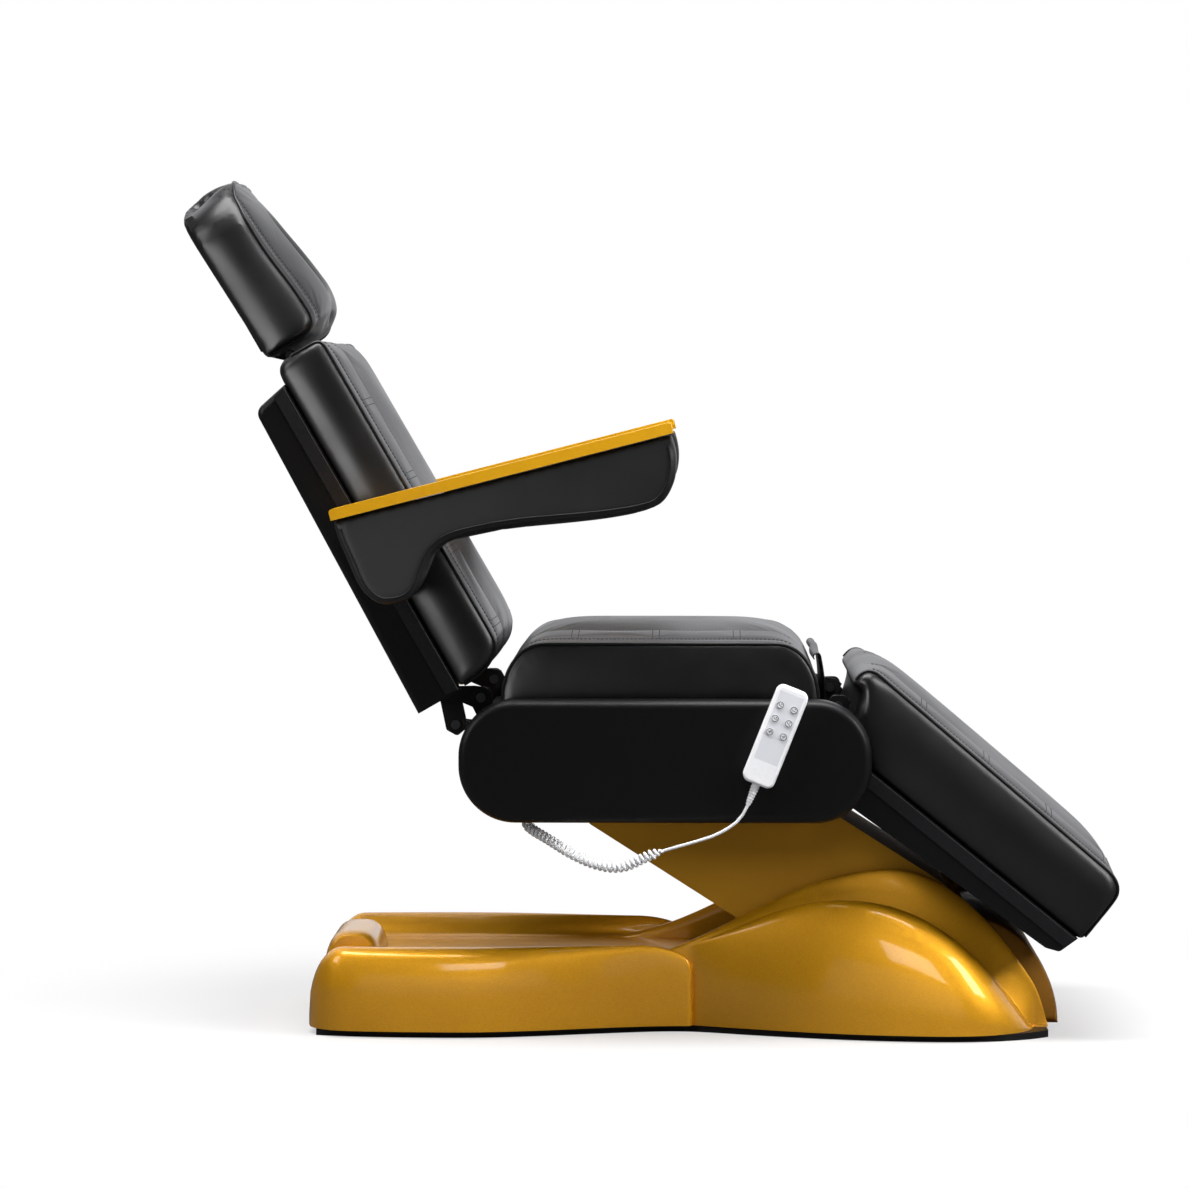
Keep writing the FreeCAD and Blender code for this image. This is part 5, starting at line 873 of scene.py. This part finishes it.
def stuff(pieces, caps):
    """Blows the covers up from inside, and keeps what that gives up to a cap."""
    rest = [mesh_points(piece.data) for piece in pieces]
    for piece in pieces:
        cloth = piece.modifiers.new("cover", "CLOTH")
        for key, value in COVER_CLOTH.items():
            setattr(cloth.settings, key, value)
        cloth.settings.effector_weights.gravity = 0
        cloth.collision_settings.use_collision = False
        cloth.point_cache.frame_start, cloth.point_cache.frame_end = 1, STUFFING_FRAMES
    for number in range(1, STUFFING_FRAMES + 1):
        scene.frame_set(number)
    for piece, start, cap in zip(pieces, rest, caps):
        filled = baked(piece)
        piece.modifiers.clear()
        moved = mesh_points(filled) - start
        reach = np.linalg.norm(moved, axis=1)[:, None]
        moved *= np.tanh(reach / (cap * MM)) * cap * MM / np.maximum(reach, 1e-9)
        set_points(piece.data, start + moved)
        bpy.data.meshes.remove(filled)
    scene.frame_set(1)


def level(height):
    return lambda along: height + 0 * along


def leg_top(along):
    return 76 - 12 * along / 485


def rear_corner(rear, end, radius):
    """A pad's rear side, with its upper corner rounded off."""
    def side(along):
        share = np.clip((along - end + radius) / radius, 0, 1)
        return rear + 0.85 * radius * (1 - np.sqrt(1 - share ** 2))
    return side


back_bottom, head_corner = rear_corner(-15, 569, 24), rear_corner(0, 843, 26)


def head_bottom(along):
    """The headrest's rear side, which leans away from the back towards its top."""
    return head_corner(along) - 28 - 9 * np.clip((along - 589) / 210, 0, 1)


def drawn_height(points):
    """The height along a smooth line through points."""
    line = through(points, 8)
    return lambda along: np.interp(along, line[:, 0], line[:, 1])


def leg_bottom(along):
    return np.where(along < 40, 40 - 80 * ease(along / 44 - 0.05), -40.0)


# the headrest's piped edge dips beside the face hollow, and its two rolls fall towards the top
head_edge = drawn_height([(580, 61), (580, 61), (625, 61), (666, 58), (700, 53.5), (735, 50), (775, 49), (805, 51),
                          (825, 54), (846, 58), (846, 58)])
head_crest = drawn_height([(580, 62), (580, 62), (596, 76), (612, 89), (640, 90), (720, 79), (789, 69), (823, 63),
                           (846, 59), (846, 59)])
ROLL_SEAM, PANEL_SEAM = (246, 5, 7), (150, 6, 9)
PADS = [
    (Pad("seat_pad", SEAT, -262, 200, level(482), level(581), 286, 17, (62, 82), (62, 82), [ROLL_SEAM, PANEL_SEAM],
         6, 14, (-156, -38, 80)), "seat", "seat_cushion"),
    (Pad("back_pad", BACK, 30, 569, back_bottom, level(65), 286, 17, (40, 62), (12, 8), [ROLL_SEAM, PANEL_SEAM],
         6, 14, (86, 210, 333.5, 457), side_swell=6), "back", "back_cushion"),
    (Pad("leg_pad", LEG, -9, 485, leg_bottom, leg_top, 286, 15, (20, 17), (34, 26), [ROLL_SEAM, PANEL_SEAM],
         6, 12, (96, 216, 336, 446), side_swell=8), "leg", "leg_cushion"),
    (Pad("head_pad", BACK, 589, 843, head_bottom, head_edge, 171, 0, (24, 26), (4, 2), [(142, 5, 7)], 5, 10,
         hollow=(707, 178, 110, 30), side_swell=10, end_swell=6, crest=head_crest, corner=75), "head", "head_cushion"),
]


def held_share(pad, points):
    """How firmly each point of a pad's cover is held: at its seams, its piped edges and its underside."""
    along, across, out = pad.place.local(points).T
    face = pad.edge_height(along)
    upper = out > face - 10
    held = np.zeros(len(points))
    for seam, _, width in pad.seams:
        held = np.maximum(held, upper * np.exp(-((np.abs(across) - seam) / (0.6 * width)) ** 2))
    strip = (np.abs(across) > pad.seams[-1][0]) & (np.abs(across) < pad.seams[0][0])
    for place in pad.cross_seams:
        for side in (-5, 5):
            held = np.maximum(held, upper * strip * np.exp(-((along - place - side) / 3.2) ** 2))
    held = np.maximum(held, 0.9 * np.exp(-((np.abs(across) - pad.half(along) + 3) / 4) ** 2
                                         - ((out - face) / 9) ** 2))
    return np.maximum(held, np.clip(1 - (out - pad.bottom(along)) / 14, 0, 1))


# ---------- armrest pads
ARMREST_OUTLINE = through([
    (-42, 86), (-42, 86), (-41, 60), (-36, 29), (-28, -16), (-12, -41), (6, -49.5), (34, -49.5), (56, -34), (71, -11),
    (88, 8), (115, 18.5), (160, 19), (217, 14), (285, 3), (345, -6), (398, -9.5), (424, -2), (444, 20), (454, 44),
    (457, 64), (457, 86), (457, 86), (-42, 86)], 7)[:-1]
ARMREST_INNER, ARMREST_OUTER, ARMREST_EDGE, ARMREST_SEAM = 309.0, 386.0, 12.0, 9.0


def armrest_form(name, sign):
    shell = bmesh.new()
    bend = [(ARMREST_EDGE * (1 - math.cos(turn)), ARMREST_EDGE * (1 - math.sin(turn)))
            for turn in np.linspace(0, math.pi / 2, 6)]
    sections = [(ARMREST_INNER + depth, inset) for depth, inset in bend]
    sections += [(ARMREST_OUTER - depth, inset) for depth, inset in bend[::-1]]
    skinned(shell, [ARMREST.world(np.insert(inset_outline(ARMREST_OUTLINE, inset), 1, sign * across, 1))
                    for across, inset in sections])
    return shell_mesh(name, shell)


def armrest_held(points):
    """The pad is glued under its top plate and sewn along the edge of its outer face."""
    local = ARMREST.local(points)
    across = np.abs(local[:, 1])
    held = np.clip(1 - (84 - local[:, 2]) / 10, 0, 1)
    return np.maximum(held, np.exp(-((across - ARMREST_OUTER + 4) / 3) ** 2) * 0.9)


covers = []
for pad, body, node_name in PADS:
    piece = remeshed(pad.name, form_mesh(pad), pad.voxel)
    round_out(pad, piece)
    pin_to_seams(piece, held_share(pad, mesh_points(piece.data)))
    covers.append((piece, pad.cap, "upholstery", body, node_name))
for side, sign in (("left", -1), ("right", 1)):
    piece = remeshed(f"armrest_cover_{side}", armrest_form(f"armrest_cover_{side}", sign), 5)
    pin_to_seams(piece, armrest_held(mesh_points(piece.data)))
    covers.append((piece, 5, "armrest_upholstery", f"armrest_{side}", f"armrest_pad_{side}"))
stuff([row[0] for row in covers], [row[1] for row in covers])
for piece, _, slot_name, body, node_name in covers:
    piece.vertex_groups.clear()
    piece.data.shade_smooth()
    finer = piece.modifiers.new("finer", "SUBSURF")
    finer.levels = finer.render_levels = 1
    dress(piece, slot_name, body, node_name)


# ---------- piping and stitching
piping, stitches = piping_recipe(), stitch_recipe()
PIPING_STEP, PIPING_RADIUS, ARMREST_PIPING = 4 * MM, 2.6 * MM, 1.7 * MM
STITCH_SPACING, STITCH_LENGTH, STITCH_RADIUS = 6.0 * MM, 4.6 * MM, 0.55 * MM
SEAM_ROWS, CROSS_ROWS, STITCH_LIFT, ARMREST_SEAM_TOP = (-4.5, 4.5), (-5, 5), 0.1, 74


def skin_of(piece):
    return BVHTree.FromObject(piece, bpy.context.evaluated_depsgraph_get())


def laid_on(skin, points, lift):
    """The nearest places on a cover, raised by a lift."""
    laid = []
    for point in points:
        spot, normal, _, _ = skin.find_nearest(Vector(point))
        laid.append(spot + normal * lift * MM)
    return np.array(laid)


def edge_lines(pad):
    """The piped edges of both side bands, from the underside round the face and back."""
    face, _ = pad.side_outline(90)
    inset = EDGE_ROUND * (1 - math.cos(math.pi / 4))
    lines = []
    for side in (-1, 1):
        first, last = [np.insert(np.linspace(pad.bottom(along) + 8, out, 10)[:-1, None], 0, along, 1)
                       for along, out in face[[0, -1]]]
        line = np.concatenate([first, face] if pad.corner else [first, face, last[::-1]])
        lines.append(pad.place.world(np.insert(line, 1, side * (pad.half(line[:, 0]) - inset), 1)))
    if pad.corner:
        share = np.linspace(0, 1, 30)[1:-1, None]
        crossing = lines[0][-1] * (1 - share) + lines[1][-1] * share
        lines = [np.concatenate([lines[0], crossing, lines[1][::-1]])]
    return lines


def face_line(pad, skin, along, across, lift):
    """A line sewn on the padded face, dropped onto the cover from in front."""
    down = Vector(-pad.place.out)
    dropped = []
    for u, v in zip(along, across):
        spot, normal, _, _ = skin.ray_cast(Vector(pad.place.world(np.array([u, v, 900.0]))), down)
        if spot is not None:
            dropped.append(spot + normal * lift * MM)
    return np.array(dropped)


def pipe(name, lines, step, radius, body, slot_name):
    """Piping along lines, in the look of a slot."""
    trim(piping.make(name, lines, Step=step, Radius=radius, Cover=LOOKS[slot_name]), body, slot_name)


for (piece, _, _, body, _), (pad, _, _) in zip(covers, PADS):
    skin = skin_of(piece)
    edges = [laid_on(skin, line, 0.9) for line in edge_lines(pad)]
    pipe(f"{pad.name}_piping", edges, PIPING_STEP, PIPING_RADIUS, body, "upholstery")
    rows = []
    inside = np.linspace(pad.start + 0.7 * pad.start_round[0], pad.end - 0.7 * pad.end_round[0], 120)
    strip = np.linspace(pad.seams[-1][0] + 6, pad.seams[0][0] - 6, 30)
    for (seam, _, _), side, offset in product(pad.seams, (-1, 1), SEAM_ROWS):
        rows.append(face_line(pad, skin, inside, np.full(120, side * (seam + offset)), STITCH_LIFT))
    for place, side, offset in product(pad.cross_seams, (-1, 1), CROSS_ROWS):
        rows.append(face_line(pad, skin, np.full(30, place + offset), side * strip, STITCH_LIFT))
    trim(stitches.make(f"{pad.name}_stitches", rows, Spacing=STITCH_SPACING, Length=STITCH_LENGTH,
                       Radius=STITCH_RADIUS, Cover=thread), body)
for (piece, _, _, body, _), sign in zip(covers[len(PADS):], (-1, 1)):
    outline = inset_outline(ARMREST_OUTLINE, ARMREST_SEAM)
    outline = outline[outline[:, 1] < ARMREST_SEAM_TOP]
    line = ARMREST.world(np.insert(outline, 1, sign * (ARMREST_OUTER + 1), 1))
    pipe(f"{piece.name}_piping", [laid_on(skin_of(piece), line, 0.3)], PIPING_STEP, ARMREST_PIPING, body,
         "armrest_upholstery")


# ---------- flap in the gap before the seat
FLAP_SIDE, FLAP_X, FLAP_FOOT, FLAP_RISE, FLAP_HEM, FLAP_THICK = 200.0, 204.5, 450.5, 108.0, 5.4, 1.8


def flap_profile():
    """The strip from its foot on the seat's front rail up to the hem that curls to the seat."""
    up = np.linspace(0, 1, 22)
    rise = np.stack([FLAP_X + 5 * np.sin(np.pi * up) - 2 * up ** 3, FLAP_FOOT + FLAP_RISE * up], -1)
    turn = np.linspace(0.15, 1.25 * np.pi, 10)[1:]
    centre = rise[-1] + (-FLAP_HEM, 0)
    hem = np.stack([centre[0] + FLAP_HEM * np.cos(turn), centre[1] + FLAP_HEM * np.sin(turn)], -1)
    return np.concatenate([rise, hem])


def make_flap():
    profile = flap_profile()
    across = np.linspace(-FLAP_SIDE, FLAP_SIDE, 81)
    height = (profile[:, 1] - FLAP_FOOT) / FLAP_RISE
    points = []
    for v in across:
        wave = 1.3 * math.sin(v / 58) + 0.5 * math.sin(v / 31 + 1)
        points.append(np.stack([profile[:, 0] + wave * height ** 2, np.full(len(profile), v),
                                profile[:, 1] - 1.2 * height * (1 - math.cos(v / 60))], -1))
    mesh = bpy.data.meshes.new("gap_flap_strip")
    mesh.from_pydata((np.concatenate(points) * MM).tolist(), [], grid_faces(len(across), len(profile), False))
    mesh.shade_smooth()
    strip = linked("gap_flap_strip", mesh)
    thick = strip.modifiers.new("thick", "SOLIDIFY")
    thick.thickness, thick.offset = FLAP_THICK * MM, 0
    dress(strip, "flap_cloth", "seat", "gap_flap")


make_flap()


# ---------- grained rims moulded on the covers
COVER_SIDE, RIM_RISE = 285.0, 1.8


def cover_rim(name, place, body, front, rear, low, high):
    """A raised, grained strip along both sides of a cover, next to its cushion; low and high give its slanted ends. Its
    grey, lighter than the cover's black, is painted sheen.
    """
    depth, rise = np.array([(front, -6), (front, RIM_RISE - 1), (front - 1, RIM_RISE), (rear + 1.2, RIM_RISE),
                            (rear, RIM_RISE - 1.2), (rear, -6)]).T
    slant = (front - depth) / (front - rear)
    start, end = low[0] + (low[1] - low[0]) * slant, high[0] + (high[1] - high[0]) * slant
    shell = bmesh.new()
    for side in (-1, 1):
        skinned(shell, [place.world(np.stack([start + (end - start) * share, side * (COVER_SIDE + rise), depth], -1))
                        for share in np.linspace(0, 1, 41)])
    strip = linked(name, shell_mesh(name, shell))
    paint(strip, LOOKS["cover_rim"])
    trim(strip, body, "black_plastic")


cover_rim("back_cover_rim", BACK, "back", -17.5, -38, (29, 31), (534, 528))
cover_rim("leg_cover_rim", LEG, "leg", -42.5, -63, (64, 66), (475, 470))


# ---------- handset's button signs and relief ribs
BUTTON_FACE, BUTTON_COLUMNS, BUTTON_ROWS, BUTTON_RING = -365.5, (-10.5, 10.5), (45.0, 24.5, 4.0), 4.6
RELIEF_MIDDLE, RELIEF_WIDE, RELIEF_TAPER, RELIEF_TOP, RELIEF_LONG = (0, -353), 5.5, 1.8, -79.5, 21
UP_TIP, DOWN_TIP = [(0.5, 1.4), (1.4, 2.5), (2.3, 1.4)], [(0.5, 2.5), (1.4, 1.4), (2.3, 2.5)]
STAND = [[(-2.8, 0.3), (2.8, 0.3)], [(0, 0.3), (0, -2.6)]]
SIGNS = [[[(-2.9, 2.2), (-0.9, -1.0), (2.9, -1.4)], UP_TIP], [[(-3.1, 0.2), (-0.9, -1.0), (2.9, -1.4)], DOWN_TIP],
         [[(-2.4, 2.0), (-1.4, -0.8), (1.0, -0.8), (3.0, 0.3)], UP_TIP],
         [[(-2.4, 2.0), (-1.4, -0.8), (1.0, -0.8), (2.2, -2.7)], DOWN_TIP],
         STAND + [UP_TIP], STAND + [DOWN_TIP]]


def circle(radius, count):
    turn = np.linspace(0, 2 * math.pi, count)
    return radius * np.stack([np.cos(turn), np.sin(turn)], -1)


def print_button(number):
    """A ring and the sign of what the button moves."""
    middle = (BUTTON_COLUMNS[number % 2], BUTTON_ROWS[number // 2])
    lines = [circle(BUTTON_RING, 41)] + [np.array(line) for line in SIGNS[number]]
    rows = [HANDSET.world(np.insert(line + middle, 1, BUTTON_FACE, 1)) for line in lines]
    trim(piping.make(f"button_{number + 1}_print", rows, Step=0.4 * MM, Radius=0.36 * MM, Cover=print_ink),
         f"button_{number + 1}")


def relief_ring(share):
    """One rib of the strain relief, at a share of the way down its cone."""
    ring = circle(RELIEF_WIDE - RELIEF_TAPER * share, 25) + RELIEF_MIDDLE
    return HANDSET.world(np.insert(ring, 2, RELIEF_TOP - RELIEF_LONG * share, 1))


for number in range(len(SIGNS)):
    print_button(number)
pipe("strain_relief_ribs", [relief_ring(share) for share in np.linspace(0, 1, 6)], 1.2 * MM, 1.1 * MM, "handset",
     "cord_sheath")


# ---------- CAD pieces that stay as they are
for row in frame["record"]["subparts"]:
    shown = nodes[row["node"]]
    if not shown.hide_render:
        paint(shown, LOOKS[row["material_slot"]])


# ---------- what each lamp lights
def light_alone(lamp_names, pieces):
    """Keeps some lamps to some pieces: black covers and gold paint were lit apart."""
    lit = bpy.data.collections.new("lit_by_" + lamp_names[0])
    for piece in pieces:
        lit.objects.link(piece)
    for name in lamp_names:
        bpy.data.objects[name].light_linking.receiver_collection = lit


light_alone(("floor_bounce",), [row[0] for row in covers])
bright_looks = [LOOKS[name] for name in ("gold_paint", "foot_skin", "gold_plate", "arm_paint", "white_plastic",
                                         "keypad_film", "button_rubber", "cord_sheath")]
light_alone(("front_fill", "floor_front"), [
    piece for piece in scene.objects if piece.type == "MESH" and piece.data.materials
    and piece.data.materials[0] in bright_looks])


# ---------- the cord's drawn line
cord_line = route_points(cord_points)
